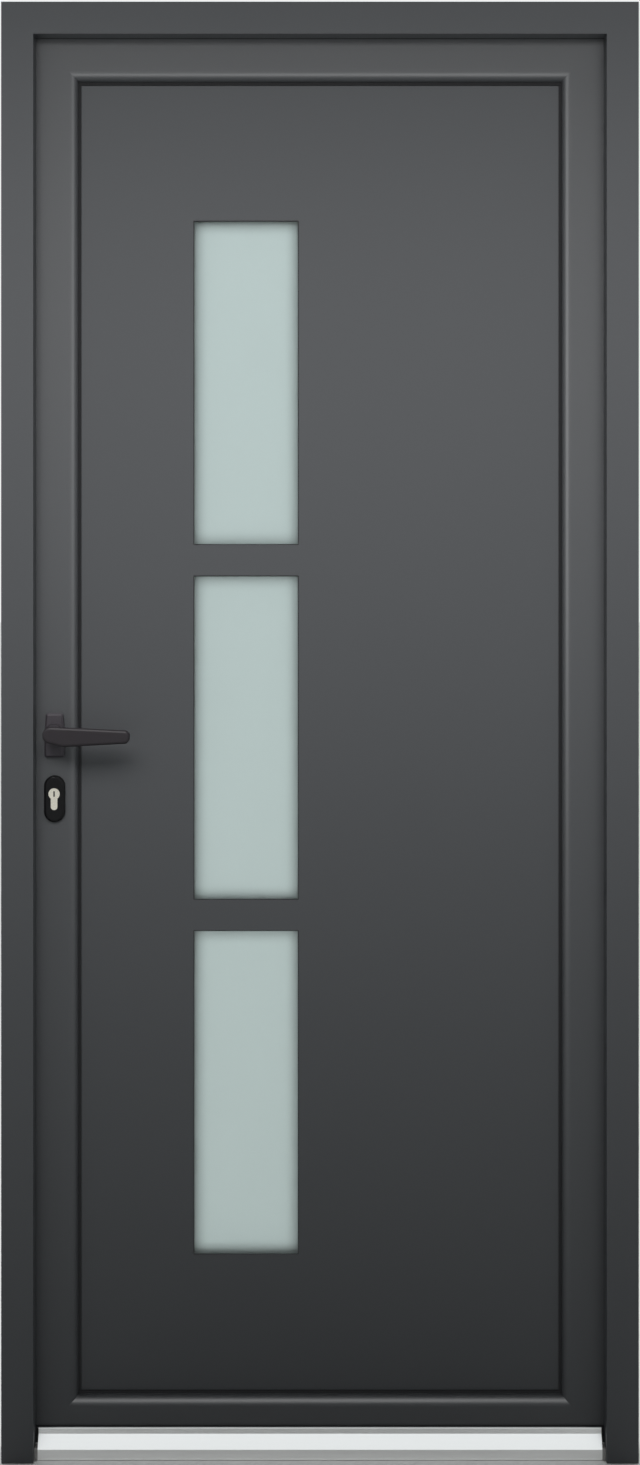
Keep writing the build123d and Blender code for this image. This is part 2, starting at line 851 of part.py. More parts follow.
bead_lengths = {"top": leaf_width, "bottom": leaf_width, "left": leaf_height, "right": leaf_height}
for side, length in bead_lengths.items():
    with BuildPart() as bead:
        glazing_bead(side, length)
    keep(bead, f"{side}_bead")

with BuildPart() as hinge_leaf_plates:
    plate_end = leaf_half + leaf_overlap - leaf_plate_edge
    plate_depth = (leaf_back_y, leaf_back_y + hinge_plate)
    for height in hinge_heights:
        block((plate_end - leaf_plate_width, plate_end), plate_depth, about(height, leaf_plate_length))
        block((plate_end, hinge_x), plate_depth, about(height, knuckle_length))
        start = (hinge_x, hinge_y, height - knuckle_length / 2)
        bar(start, (0, 0, 1), barrel_radius, knuckle_length)
        bar(start, (0, 0, 1), hinge_pin_radius + running_fit, knuckle_length, Mode.SUBTRACT)
    for start in leaf_hinge_screws():
        screw_form(start, (0, -1, 0), Mode.SUBTRACT)
keep(hinge_leaf_plates, "hinge_leaf_plates")

# Lock: faceplate, cases and cylinder


def rail_slot(span):
    """A bolt's height span, lengthened upward so that the rail can travel past it."""
    return (span[0] - slot_room, span[1] + slot_room + rail_stroke)


snib_span = about(snib_z, snib_stem)
snib_travel = (snib_span[0] - snib_stroke - slide_fit, snib_span[1] + slide_fit)

with BuildPart() as lock_faceplate:
    plate = (lock_edge_x, lock_edge_x + faceplate_thickness)
    across = (lock_edge_x - overrun, lock_edge_x + overrun)
    block(plate, about(lock_y, faceplate_width), (faceplate_low, faceplate_high))
    bolts = [(latch_low, latch_high), (deadbolt_low, deadbolt_high)]
    for low, high in bolts:
        slot_width = about(lock_y, bolt_thickness + slide_fit * 2)
        block(across, slot_width, (low - slide_fit, high + slide_fit), Mode.SUBTRACT)
    for height in hook_heights.values():
        hook_width = about(lock_y, hook_thickness + slide_fit * 2)
        block(across, hook_width, hook_slot_span(height), Mode.SUBTRACT)
    block(across, about(lock_y, snib_stem + slide_fit * 2), snib_travel, Mode.SUBTRACT)
    bar((across[0], lock_y, cylinder_screw_z), (1, 0, 0), cylinder_screw, overrun * 2, Mode.SUBTRACT)
    for start in faceplate_screws():
        screw_form(start, (1, 0, 0), Mode.SUBTRACT)
keep(lock_faceplate, "lock_faceplate")


def open_case(z_span):
    """A thin steel case, open towards the faceplate."""
    back_x = groove_x + case_depth
    block((groove_x, back_x), about(lock_y, case_thickness), z_span)
    hollow_z = (z_span[0] + case_wall, z_span[1] - case_wall)
    hollow_y = about(lock_y, case_thickness - case_wall * 2)
    block((groove_x, back_x - case_wall), hollow_y, hollow_z, Mode.SUBTRACT)


with BuildPart() as lock_case:
    open_case(case_spans()[0])
    case_front = lock_y - case_thickness / 2 - overrun
    through = case_thickness + overrun * 2
    follower_room = follower_bearing + running_fit
    bar((spindle_x, case_front, spindle_height), (0, 1, 0), follower_room, through, Mode.SUBTRACT)
    extrude(profile_outline(case_front + through, profile_room), amount=through, mode=Mode.SUBTRACT)
keep(lock_case, "lock_case")

with BuildPart() as hook_cases:
    for height, span in zip(hook_heights.values(), case_spans()[1:]):
        open_case(span)
        start = (hook_x, lock_y - case_thickness / 2, height)
        bar(start, (0, 1, 0), hook_pivot, case_thickness)
keep(hook_cases, "hook_cases")

cylinder_front = leaf_front_y - escutcheon_thickness - cylinder_proud
cylinder_back = leaf_back_y + escutcheon_thickness + cylinder_proud

with BuildPart() as cylinder_body:
    cylinder_length = cylinder_back - cylinder_front
    extrude(profile_outline(cylinder_back), amount=cylinder_length)
    plug_room = plug_radius + running_fit
    start = (spindle_x, cylinder_front - overrun, cylinder_z)
    bar(start, (0, 1, 0), plug_room, cylinder_length + overrun * 2, Mode.SUBTRACT)
    cam_gap = cam_width + cam_room * 2
    start = (spindle_x, lock_y - cam_gap / 2, cylinder_z)
    bar(start, (0, 1, 0), cam_radius + cam_room, cam_gap, Mode.SUBTRACT)
    start = (spindle_x - overrun * 2, lock_y, cylinder_screw_z)
    bar(start, (1, 0, 0), cylinder_screw, overrun * 2 + cylinder_stem, Mode.SUBTRACT)
keep(cylinder_body, "cylinder_body")

with BuildPart() as leaf_screws:
    for start in faceplate_screws():
        screw(start, (1, 0, 0))
    for start in leaf_hinge_screws():
        screw(start, (0, -1, 0))
    reach = lock_backset + cylinder_stem
    bar((lock_edge_x, lock_y, cylinder_screw_z), (1, 0, 0), cylinder_screw, reach)
keep(leaf_screws, "leaf_screws")

# Roses, escutcheons and levers: face is the leaf's surface, out is -1 outdoors and 1 indoors


def front_face(piece, out):
    """The face of a piece that stands farthest away from the leaf."""
    return piece.faces().sort_by(Axis.Y)[-1 if out > 0 else 0]


# The rose's plate is made once, round the origin, and faces outdoors
with BuildPart() as rose_plate:
    with BuildSketch(seen_from_outside(0)) as outline:
        with BuildLine():
            Polyline(
                (-rose_width / 2, -rose_drop),
                (rose_width / 2, -rose_drop),
                (rose_width / 2, 0),
                (rose_top_width / 2, rose_rise),
                (-rose_top_width / 2, rose_rise),
                (-rose_width / 2, 0),
                close=True,
            )
        make_face()
        fillet(outline.vertices().group_by(Axis.Y)[0], rose_corner)
        fillet(outline.vertices().group_by(Axis.Y)[-1], rose_corner)
    extrude(amount=rose_thickness)
    chamfer(front_face(rose_plate, -1).edges().sort_by(Axis.Z)[-1], rose_bevel)
    fillet(front_face(rose_plate, -1).edges(), rose_edge)


def rose(face, out):
    """The plate, with a raised collar round the lever's neck."""
    plate = rose_plate.part
    if out > 0:
        plate = mirror(plate, about=Plane.XZ, mode=Mode.PRIVATE)
    with Locations((spindle_x, face, spindle_height)):
        add(plate)
    outer_y = face + out * rose_thickness
    bar((spindle_x, outer_y, spindle_height), (0, out, 0), collar_radius, collar_height)
    start = (spindle_x, face - out * overrun, spindle_height)
    reach = rose_thickness + collar_height + overrun * 2
    bar(start, (0, out, 0), neck_radius + running_fit, reach, Mode.SUBTRACT)


def escutcheon(face, out):
    """A domed cover round the cylinder."""
    middle = cylinder_z - escutcheon_drop
    with BuildSketch(seen_from_outside(face)) as outline:
        with Locations((spindle_x, middle)):
            SlotOverall(escutcheon_height, escutcheon_width, rotation=90)
    cover = extrude(outline.sketch, amount=-out * escutcheon_thickness)
    fillet(front_face(cover, out).edges(), escutcheon_dome)
    hole = profile_outline(face + out * (escutcheon_thickness + overrun), profile_room)
    extrude(hole, amount=out * (escutcheon_thickness + overrun * 2), mode=Mode.SUBTRACT)


def lever(face, out):
    """A lever in one piece: a round neck, and a grip with a full root that tapers to a rounded tip."""
    grip_y = face + out * grip_stand_off
    tip_x = spindle_x + grip_length - grip_tip_round
    tip_z = spindle_height - grip_tip_drop
    tip_rise = grip_tip_half - grip_tip_round
    with BuildSketch(seen_from_outside(grip_y)) as outline:
        with Locations((spindle_x, spindle_height)):
            Circle(grip_root_radius)
        with Locations((spindle_x + grip_belly_reach, spindle_height - grip_belly_drop)):
            Circle(grip_belly_radius)
        with Locations((tip_x, tip_z + tip_rise), (tip_x, tip_z - tip_rise)):
            Circle(grip_tip_round)
        make_hull()
    grip = extrude(outline.sketch, amount=-out * grip_thickness)
    fillet(grip.edges().filter_by(Axis.Y, reverse=True), grip_edge)
    neck_start = (spindle_x, face + out * slide_fit, spindle_height)
    neck_length = grip_stand_off - slide_fit + grip_edge
    bar(neck_start, (0, out, 0), neck_radius, neck_length)
    half = spindle_square / 2
    socket_y = sorted((face, face + out * grip_stand_off))
    socket = (spindle_height - half, spindle_height + half)
    block((spindle_x - half, spindle_x + half), socket_y, socket, Mode.SUBTRACT)


sides = {"outer": (leaf_front_y, -1), "inner": (leaf_back_y, 1)}
for place, (face, out) in sides.items():
    with BuildPart() as rose_piece:
        rose(face, out)
    keep(rose_piece, f"{place}_rose")
    with BuildPart() as escutcheon_piece:
        escutcheon(face, out)
    keep(escutcheon_piece, f"{place}_escutcheon")
    with BuildPart() as lever_piece:
        lever(face, out)
    keep(lever_piece, f"{place}_lever")

# Moving pieces of the lock


def across_lock(outline, thickness):
    """Extrude an outline that was drawn in the middle plane of the lock to both sides."""
    extrude(outline, amount=thickness / 2, both=True)


with BuildPart() as spindle:
    half = spindle_square / 2
    span_y = (leaf_front_y - grip_stand_off, leaf_back_y + grip_stand_off)
    block(about(spindle_x, spindle_square), span_y, about(spindle_height, spindle_square))
keep(spindle, "spindle")

with BuildPart() as follower:
    body_thickness = case_thickness - case_wall * 2 - slide_fit * 2
    with BuildSketch(seen_from_outside(lock_y)):
        with Locations((spindle_x, spindle_height)):
            Circle(follower_radius)
            Rectangle(follower_arm_width, follower_arm, align=(Align.CENTER, Align.MIN))
    extrude(amount=body_thickness / 2, both=True)
    start = (spindle_x, lock_y - case_thickness / 2, spindle_height)
    bar(start, (0, 1, 0), follower_bearing, case_thickness)
    hole_y = about(lock_y, case_thickness + overrun)
    block(about(spindle_x, spindle_square), hole_y, about(spindle_height, spindle_square), Mode.SUBTRACT)
keep(follower, "follower")

with BuildPart() as latch_bolt:
    tip_x = lock_edge_x + bolt_set_back
    block((tip_x, tip_x + latch_length), about(lock_y, bolt_thickness), (latch_low, latch_high))
    nose = latch_bolt.edges().filter_by(Axis.Z).group_by(Axis.X)[0].sort_by(Axis.Y)[0]
    chamfer(nose, latch_bevel)
keep(latch_bolt, "latch_bolt")

with BuildPart() as latch_snib:
    knob = (lock_edge_x - snib_proud, lock_edge_x)
    block(knob, about(lock_y, snib_size), about(snib_z, snib_size))
    fillet(latch_snib.edges().group_by(Axis.X)[0], snib_proud / 3)
    block((lock_edge_x, lock_edge_x + snib_reach), about(lock_y, snib_stem), snib_span)
keep(latch_snib, "latch_snib")

with BuildPart() as deadbolt:
    tip_x = lock_edge_x + bolt_set_back
    block((tip_x, tip_x + deadbolt_length), about(lock_y, bolt_thickness), (deadbolt_low, deadbolt_high))
    chamfer(deadbolt.faces().sort_by(Axis.X)[0].edges(), bolt_thickness / 12)
keep(deadbolt, "deadbolt")

with BuildPart() as key_plug:
    plug_length = cylinder_back - cylinder_front + plug_proud * 2
    start = (spindle_x, cylinder_front - plug_proud, cylinder_z)
    bar(start, (0, 1, 0), plug_radius, plug_length)
    with BuildSketch(seen_from_outside(lock_y)):
        with Locations((spindle_x, cylinder_z)):
            Circle(cam_hub)
            Rectangle(cam_finger, cam_radius, align=(Align.CENTER, Align.MAX))
    extrude(amount=cam_width / 2, both=True)
    cam_tip = key_plug.edges().filter_by(Axis.Y).group_by(Axis.Z)[0]
    fillet(cam_tip, cam_finger / 4)
    for y in (cylinder_front - plug_proud, cylinder_back + plug_proud):
        key_x = about(spindle_x, keyway_width)
        block(key_x, about(y, keyway_depth * 2), about(cylinder_z, keyway_height), Mode.SUBTRACT)
keep(key_plug, "key_plug")


def hook_outline(height):
    """A hook that points up in its case; its beak faces the frame, and it swings outward and down."""
    beak_x = hook_x - hook_half_width - hook_beak
    tip_z = height + hook_length
    with BuildSketch(seen_from_outside(lock_y)) as outline:
        with Locations((hook_x, height)):
            Circle(hook_hub)
            Rectangle(hook_half_width * 2, hook_length, align=(Align.CENTER, Align.MIN))
        with Locations((beak_x, tip_z)):
            beak = hook_beak + hook_half_width
            Rectangle(beak, hook_beak_width, align=(Align.MIN, Align.MAX))
        tips = outline.vertices().group_by(Axis.Y)[-1]
        fillet(tips, hook_beak_width / 4)
        with Locations((hook_x, height)):
            Circle(hook_pivot + running_fit, mode=Mode.SUBTRACT)
    return outline.sketch


for name, height in hook_heights.items():
    with BuildPart() as hook:
        across_lock(hook_outline(height), hook_thickness)
    keep(hook, f"{name}_hook")

with BuildPart() as drive_rail:
    rail_depth = (rail_x, rail_x + rail_thickness)
    across = (rail_x - overrun, rail_x + overrun)
    rail_low = faceplate_low + rail_inset
    rail_high = faceplate_high - rail_inset
    block(rail_depth, about(lock_y, rail_width), (rail_low, rail_high))
    wide = about(lock_y, bolt_thickness + slide_fit * 2)
    for low, high in ((latch_low, latch_high), (deadbolt_low, deadbolt_high)):
        block(across, wide, rail_slot((low, high)), Mode.SUBTRACT)
    hook_width = about(lock_y, hook_thickness + slot_room)
    for height in hook_heights.values():
        block(across, hook_width, rail_slot(hook_slot_span(height)), Mode.SUBTRACT)
    stem_width = about(lock_y, snib_stem + slot_room)
    block(across, stem_width, rail_slot(snib_travel), Mode.SUBTRACT)
    screw_width = about(lock_y, cylinder_screw * 2 + slot_room)
    screw_heights = [cylinder_screw_z] + [start[2] for start in faceplate_screws()[1:-1]]
    for height in screw_heights:
        block(across, screw_width, rail_slot(about(height, cylinder_screw * 2)), Mode.SUBTRACT)
keep(drive_rail, "drive_rail")
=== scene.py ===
"""Looks of the front door: finishes for its CAD pieces, a few fine pieces, and a small studio."""

import json
import math
from typing import NamedTuple

import bpy
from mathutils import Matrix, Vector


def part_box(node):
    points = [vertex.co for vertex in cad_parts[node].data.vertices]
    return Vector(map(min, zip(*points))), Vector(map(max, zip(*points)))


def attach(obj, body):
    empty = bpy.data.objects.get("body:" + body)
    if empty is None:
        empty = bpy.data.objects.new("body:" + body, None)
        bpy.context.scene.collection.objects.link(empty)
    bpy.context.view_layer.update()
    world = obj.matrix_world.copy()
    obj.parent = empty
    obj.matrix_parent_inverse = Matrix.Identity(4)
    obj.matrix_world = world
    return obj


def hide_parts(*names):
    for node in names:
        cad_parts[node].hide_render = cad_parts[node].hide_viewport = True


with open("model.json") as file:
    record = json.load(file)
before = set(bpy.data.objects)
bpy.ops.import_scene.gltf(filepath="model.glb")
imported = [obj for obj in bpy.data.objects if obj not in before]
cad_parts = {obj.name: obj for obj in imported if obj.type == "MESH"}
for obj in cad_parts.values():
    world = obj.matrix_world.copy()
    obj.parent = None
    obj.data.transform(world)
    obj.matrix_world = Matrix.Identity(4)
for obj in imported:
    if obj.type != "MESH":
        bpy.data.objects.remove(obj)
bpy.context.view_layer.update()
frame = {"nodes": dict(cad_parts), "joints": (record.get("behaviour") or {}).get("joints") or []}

bl_info = {
    "name": "Front door looks",
    "version": (1, 0, 0),
    "blender": (4, 5, 0),
    "location": "View3D > Sidebar > Front door",
    "description": "Dresses the CAD front door with finishes, seals, brush and studio",
    "category": "Object",
}

LIGHTS = ("lower", "middle", "upper")
PROFILES = (
    "frame_head", "lock_jamb", "hinge_jamb", "lock_stile", "hinge_stile", "top_rail", "bottom_rail",
    "top_bead", "bottom_bead", "left_bead", "right_bead", "hinge_frame_plates", "hinge_leaf_plates",
)
PANEL_SKINS = ("panel_outer_skin", "panel_inner_skin")
SEALS = ("frame_gasket", "leaf_gasket", "outer_panel_gasket", "inner_panel_gasket")
SILL = ("threshold",)
CLEATS = ("frame_corner_cleats", "leaf_corner_cleats")
GREY_PLASTIC = ("threshold_end_caps", "setting_blocks", "keep_boxes")
ROSES = ("outer_rose", "inner_rose")
LEVERS = ("outer_lever", "inner_lever")
ESCUTCHEONS = ("outer_escutcheon", "inner_escutcheon")
CYLINDER = ("cylinder_body", "key_plug")
LOCK_STEEL = (
    "upper_strike", "centre_strike", "lower_strike", "lock_faceplate", "drive_rail", "lock_case",
    "hook_cases",
)
TURNED_STEEL = (
    "frame_screws", "leaf_screws", "hinge_pins", "follower", "spindle", "latch_bolt", "latch_snib",
    "deadbolt", "upper_hook", "lower_hook",
)

# Patterns of the finishes
NOISE_MIDDLE = 0.5
SPECKLE_DETAIL = 2.0
MOTTLE_SCALE = 2.3
MOTTLE_DETAIL = 3.0
STREAK_DETAIL = 4.0
RELIEF_DEPTH = 0.0002
PANEL_EXTRA_ROUGHNESS = 0.03

# Shares, counts and angles of the fine pieces
BEVEL_STEPS = 2
FACING = 0.9
LYING = (math.pi / 2, 0, 0)
SEALANT_SLOPE_SHARE = 0.75
SEALANT_BEVEL_SHARE = 0.15
SEALANT_SMOOTH_ANGLE = math.radians(50)
CARRIER_WALL_SHARE = 0.18
CARRIER_GROOVE_SHARE = 0.6
CARRIER_BEVEL_SHARE = 0.04
TUFT_ROOT_SHARE = 0.5
TUFT_DEPTH_SHARE = 0.5
TUFT_TIP_SHARES = (0.55, 0.7, 1)
TUFT_UNEVENNESS = 0.0004
TUFT_SEED = 4
LEVER_GRIP_DEPTH = 0.014
SCREW_HEIGHT = 0.003
SCREW_SIDES = 32
SCREW_BEVEL = 0.00025
SCREW_SMOOTH_ANGLE = math.radians(40)
SOCKET_SIDES = 6
COLLAR_SIDES = 64
COLLAR_RIM_SHARE = 0.4
COLLAR_RIM_STEPS = 6
COLLAR_RIM_ANGLE = math.radians(40)
COLLAR_BORE_SHARE = 3
COLLAR_SMOOTH_ANGLE = math.radians(35)
# Shares of the dark plate in each keyway, which is painted shade standing in for the depth of the slot
SHADE_PLATE_INSET_SHARE = 0.22
SHADE_PLATE_SINK_SHARE = 0.3
SHADE_PLATE_BEVEL_SHARE = 0.04

# Floor, lamps, room and camera
FLOOR_SIZE = 90
FLOOR_DROP = 0.001
KEY_SIZE = (2.6, 0.8)
KEY_COLOUR = (1.0, 0.97, 0.95)
ROOM_COLOUR = (0.95, 0.985, 1.0, 1.0)
ROOM_AHEAD_UNTIL = -0.35
ROOM_BEHIND_FROM = 0.45
SENSOR_WIDTH = 36.0
VIEW_REACH = 100.0


class Sheen(NamedTuple):
    """A lamp that is mirrored in a few pieces, and lights them only where that is asked."""

    name: str
    place: tuple
    aim: tuple
    size: tuple
    share: float
    pieces: tuple
    lights: bool = False


SHEENS = (
    Sheen("left_sheen", place=(-2.3, -2.3, 1.95), aim=(0.4, 0, 1.9), size=(1.8, 2.1), share=1.3,
          pieces=("hinge_stile",)),
    Sheen("right_sheen", place=(2.3, -2.3, 2.15), aim=(-0.4, 0, 2.1), size=(1.8, 1.7), share=0.9,
          pieces=("lock_stile",)),
    Sheen("low_sheen", place=(0, -2.4, 0.75), aim=(0, 0, 1.6), size=(3.0, 1.3), share=0.95,
          pieces=("top_rail",)),
    Sheen("high_sheen", place=(0, -2.3, 2.2), aim=(0, 0, 0.1), size=(3.0, 2.0), share=0.9,
          pieces=("bottom_rail",)),
    Sheen("handle_sheen", place=(-0.3, -1.0, 2.9), aim=(-0.4, 0, 1.05), size=(1.6, 0.8), share=1.0,
          pieces=(*ROSES, *LEVERS, *ESCUTCHEONS), lights=True),
)


class FrontDoorSizes(bpy.types.PropertyGroup):
    """Sizes of the fine pieces."""

    sealant_width: bpy.props.FloatProperty(
        name="Sealant width", description="Width of the black line round each light",
        default=0.0014, min=0.0005, unit="LENGTH")
    sealant_rise: bpy.props.FloatProperty(
        name="Sealant rise", description="Height of the black line on the panel's edge",
        default=0.0016, min=0.0005, unit="LENGTH")
    pane_rebate: bpy.props.FloatProperty(
        name="Pane rebate", description="Depth that the panel hides at each edge of a pane",
        default=0.007, min=0, unit="LENGTH")
    tuft_pitch: bpy.props.FloatProperty(
        name="Tuft pitch", description="Spacing of the tufts of the brush below the leaf",
        default=0.0032, min=0.001, unit="LENGTH")
    tuft_width: bpy.props.FloatProperty(
        name="Tuft width", description="Width of one tuft of the brush",
        default=0.0027, min=0.0005, unit="LENGTH")
    carrier_share: bpy.props.FloatProperty(
        name="Carrier share", description="Share of the brush's height that its carrier takes up",
        default=0.4, min=0.1, max=0.9, subtype="FACTOR")
    neck_radius: bpy.props.FloatProperty(
        name="Neck radius", description="Radius of each lever's neck with a running fit",
        default=0.0098, min=0.001, unit="LENGTH")
    collar_radius: bpy.props.FloatProperty(
        name="Collar radius", description="Radius of each rose's collar where it meets the plate",
        default=0.0149, min=0.005, unit="LENGTH")
    collar_height: bpy.props.FloatProperty(
        name="Collar height", description="Height of each rose's collar over the plate",
        default=0.0085, min=0.001, unit="LENGTH")
    collar_taper: bpy.props.FloatProperty(
        name="Collar taper", description="Share of its radius that a collar keeps at its rim",
        default=0.93, min=0.1, max=1, subtype="FACTOR")
    collar_step: bpy.props.FloatProperty(
        name="Collar step", description="Height of the CAD step that a collar covers",
        default=0.003, min=0, unit="LENGTH")
    keyway_width: bpy.props.FloatProperty(
        name="Keyway width", description="Width of the slot for the key",
        default=0.0021, min=0.0005, unit="LENGTH")
    keyway_height: bpy.props.FloatProperty(
        name="Keyway height", description="Height of the slot for the key",
        default=0.0084, min=0.001, unit="LENGTH")
    # The dark plate in each keyway is painted shade, put where the slot is only in shade
    shade_plate_depth: bpy.props.FloatProperty(
        name="Shade plate depth", description="Depth of the shutter in the slot for the key",
        default=0.0005, min=0, unit="LENGTH")
    shade_plate_thickness: bpy.props.FloatProperty(
        name="Shade plate thickness", description="Thickness of the shutter in the slot for the key",
        default=0.002, min=0.0005, unit="LENGTH")
    grub_radius: bpy.props.FloatProperty(
        name="Grub screw radius", description="Radius of the set screw in each lever's neck",
        default=0.0026, min=0.001, unit="LENGTH")
    grub_socket: bpy.props.FloatProperty(
        name="Grub socket radius", description="Corner radius of the set screw's hexagon",
        default=0.0014, min=0.0005, unit="LENGTH")


class FrontDoorFinishes(bpy.types.PropertyGroup):
    """Colours and gloss of the finishes."""

    coat_colour: bpy.props.FloatVectorProperty(
        name="Powder coat", description="Colour of the bars and the panel",
        default=(0.053, 0.056, 0.060), size=3, min=0, max=1, subtype="COLOR")
    coat_roughness: bpy.props.FloatProperty(
        name="Powder coat roughness", description="Roughness of the powder coat",
        default=0.42, min=0, max=1, subtype="FACTOR")
    sill_colour: bpy.props.FloatVectorProperty(
        name="Sill", description="Colour of the anodised threshold",
        default=(0.94, 0.94, 0.93), size=3, min=0, max=1, subtype="COLOR")
    handle_colour: bpy.props.FloatVectorProperty(
        name="Lever", description="Colour of the levers",
        default=(0.013, 0.011, 0.013), size=3, min=0, max=1, subtype="COLOR")
    # Painted light: the roses' black is lighter than the levers', standing in for the light that falls on
    # them
    rose_colour_with_painted_light: bpy.props.FloatVectorProperty(
        name="Rose", description="Colour of the roses under the levers",
        default=(0.030, 0.027, 0.032), size=3, min=0, max=1, subtype="COLOR")
    cylinder_colour: bpy.props.FloatVectorProperty(
        name="Cylinder", description="Colour of the plated cylinder",
        default=(0.82, 0.77, 0.66), size=3, min=0, max=1, subtype="COLOR")
    frosted_colour: bpy.props.FloatVectorProperty(
        name="Frosted glass", description="Tint of the frosted panes",
        default=(0.82, 0.88, 0.865), size=3, min=0, max=1, subtype="COLOR")
    frosted_roughness: bpy.props.FloatProperty(
        name="Frosting", description="Roughness of the frosted panes",
        default=0.75, min=0, max=1, subtype="FACTOR")
    # Painted shade in the frosted panes' tint, darker towards the edges of each light
    vignette_reach: bpy.props.FloatProperty(
        name="Edge shade reach", description="How far the shade of the panel's edge reaches into each light",
        default=0.026, min=0, unit="LENGTH")
    vignette_darkest: bpy.props.FloatProperty(
        name="Edge shade depth", description="Share of the tint that is left at the edge of each light",
        default=0.77, min=0, max=1, subtype="FACTOR")


class FrontDoorStudio(bpy.types.PropertyGroup):
    """Camera, lamps and floor."""

    camera_distance: bpy.props.FloatProperty(
        name="Camera distance", description="From the camera to the face of the frame",
        default=3.0, min=0.5, unit="LENGTH")
    camera_height: bpy.props.FloatProperty(
        name="Camera height", description="Height of the camera over the floor",
        default=1.35, min=0, unit="LENGTH")
    view_height: bpy.props.FloatProperty(
        name="View height", description="Height that the picture covers at the face of the frame",
        default=2.2048, min=0.1, unit="LENGTH")
    view_middle: bpy.props.FloatProperty(
        name="View middle", description="Height at the middle of the picture",
        default=1.0999, min=0, unit="LENGTH")
    key_height: bpy.props.FloatProperty(
        name="Key height", description="Height of the soft lamp in front of the door",
        default=2.3, min=0, unit="LENGTH")
    key_aim: bpy.props.FloatProperty(
        name="Key aim", description="Height on the door at which the soft lamp points",
        default=1.5, min=0, unit="LENGTH")
    key_distance: bpy.props.FloatProperty(
        name="Key distance", description="From the soft lamp to the face of the frame",
        default=1.6, min=0.2, unit="LENGTH")
    key_power: bpy.props.FloatProperty(
        name="Key power", description="Strength of the soft lamp in front of the door",
        default=13.6, min=0, subtype="POWER")
    key_spread: bpy.props.FloatProperty(
        name="Key spread", description="Angle over which the soft lamp spreads its light",
        default=math.radians(65), min=0.1, max=math.pi, subtype="ANGLE")
    sheen_strength: bpy.props.FloatProperty(
        name="Sheen strength", description="Brightness of the lamps that are mirrored in rounded edges",
        default=8.0, min=0)
    backdrop: bpy.props.FloatProperty(
        name="Backdrop", description="Brightness of the room as the camera, metal and glass see it",
        default=0.9, min=0)
    sky_behind: bpy.props.FloatProperty(
        name="Light behind", description="Brightness of the room behind the door",
        default=1.5, min=0)
    sky_ahead: bpy.props.FloatProperty(
        name="Light ahead", description="Brightness of the room in front of the door",
        default=0.11, min=0)
    floor_colour: bpy.props.FloatVectorProperty(
        name="Floor", description="Colour of the floor",
        default=(0.85, 0.85, 0.84), size=3, min=0, max=1, subtype="COLOR")


# Shader node groups and materials


def join(tree, source, target):
    """Link one socket to another."""
    tree.links.new(source, target)


def value_node(tree, operation, first, second, third=None):
    """A Math node; each operand is a number or a socket."""
    node = tree.nodes.new("ShaderNodeMath")
    node.operation = operation
    for socket, operand in zip(node.inputs, (first, second, third)):
        if operand is None:
            continue
        if isinstance(operand, (int, float)):
            socket.default_value = operand
        else:
            join(tree, operand, socket)
    return node.outputs[0]


def noise_node(tree, vector, scale, detail):
    """A noise pattern, and the same pattern counted from its middle, so that it runs either side of zero."""
    node = tree.nodes.new("ShaderNodeTexNoise")
    node.inputs["Detail"].default_value = detail
    join(tree, vector, node.inputs["Vector"])
    if isinstance(scale, (int, float)):
        node.inputs["Scale"].default_value = scale
    else:
        join(tree, scale, node.inputs["Scale"])
    return node.outputs["Fac"], value_node(tree, "SUBTRACT", node.outputs["Fac"], NOISE_MIDDLE)


def new_group(name, numbers, vectors=()):
    """An empty node group with a colour, numbers and vectors going in, and three maps coming out."""
    tree = bpy.data.node_groups.new(name, "ShaderNodeTree")
    tree.interface.new_socket("Colour", in_out="INPUT", socket_type="NodeSocketColor")
    for vector in vectors:
        tree.interface.new_socket(vector, in_out="INPUT", socket_type="NodeSocketVector")
    for number in numbers:
        tree.interface.new_socket(number, in_out="INPUT", socket_type="NodeSocketFloat")
    tree.interface.new_socket("Colour", in_out="OUTPUT", socket_type="NodeSocketColor")
    tree.interface.new_socket("Roughness", in_out="OUTPUT", socket_type="NodeSocketFloat")
    tree.interface.new_socket("Height", in_out="OUTPUT", socket_type="NodeSocketFloat")
    return tree, tree.nodes.new("NodeGroupInput").outputs, tree.nodes.new("NodeGroupOutput").inputs


def shade(tree, colour, value, target):
    """Lighten or darken a colour by a value that varies round one."""
    node = tree.nodes.new("ShaderNodeHueSaturation")
    join(tree, colour, node.inputs["Color"])
    join(tree, value, node.inputs["Value"])
    join(tree, node.outputs["Color"], target)


def sprayed_grain():
    """Group: the fine speckle and slow mottle of a sprayed, moulded or blasted surface."""
    if "Sprayed grain" in bpy.data.node_groups:
        return bpy.data.node_groups["Sprayed grain"]
    numbers = ("Grain", "Speckle", "Mottle", "Roughness", "Spread")
    tree, given, put = new_group("Sprayed grain", numbers)
    place = tree.nodes.new("ShaderNodeTexCoord").outputs["Object"]
    fine, fine_swing = noise_node(tree, place, given["Grain"], SPECKLE_DETAIL)
    slow_swing = noise_node(tree, place, MOTTLE_SCALE, MOTTLE_DETAIL)[1]
    speckled = value_node(tree, "MULTIPLY_ADD", fine_swing, given["Speckle"], 1.0)
    mottled = value_node(tree, "MULTIPLY_ADD", slow_swing, given["Mottle"], speckled)
    shade(tree, given["Colour"], mottled, put["Colour"])
    rough = value_node(tree, "MULTIPLY_ADD", slow_swing, given["Spread"], given["Roughness"])
    join(tree, rough, put["Roughness"])
    join(tree, fine, put["Height"])
    return tree


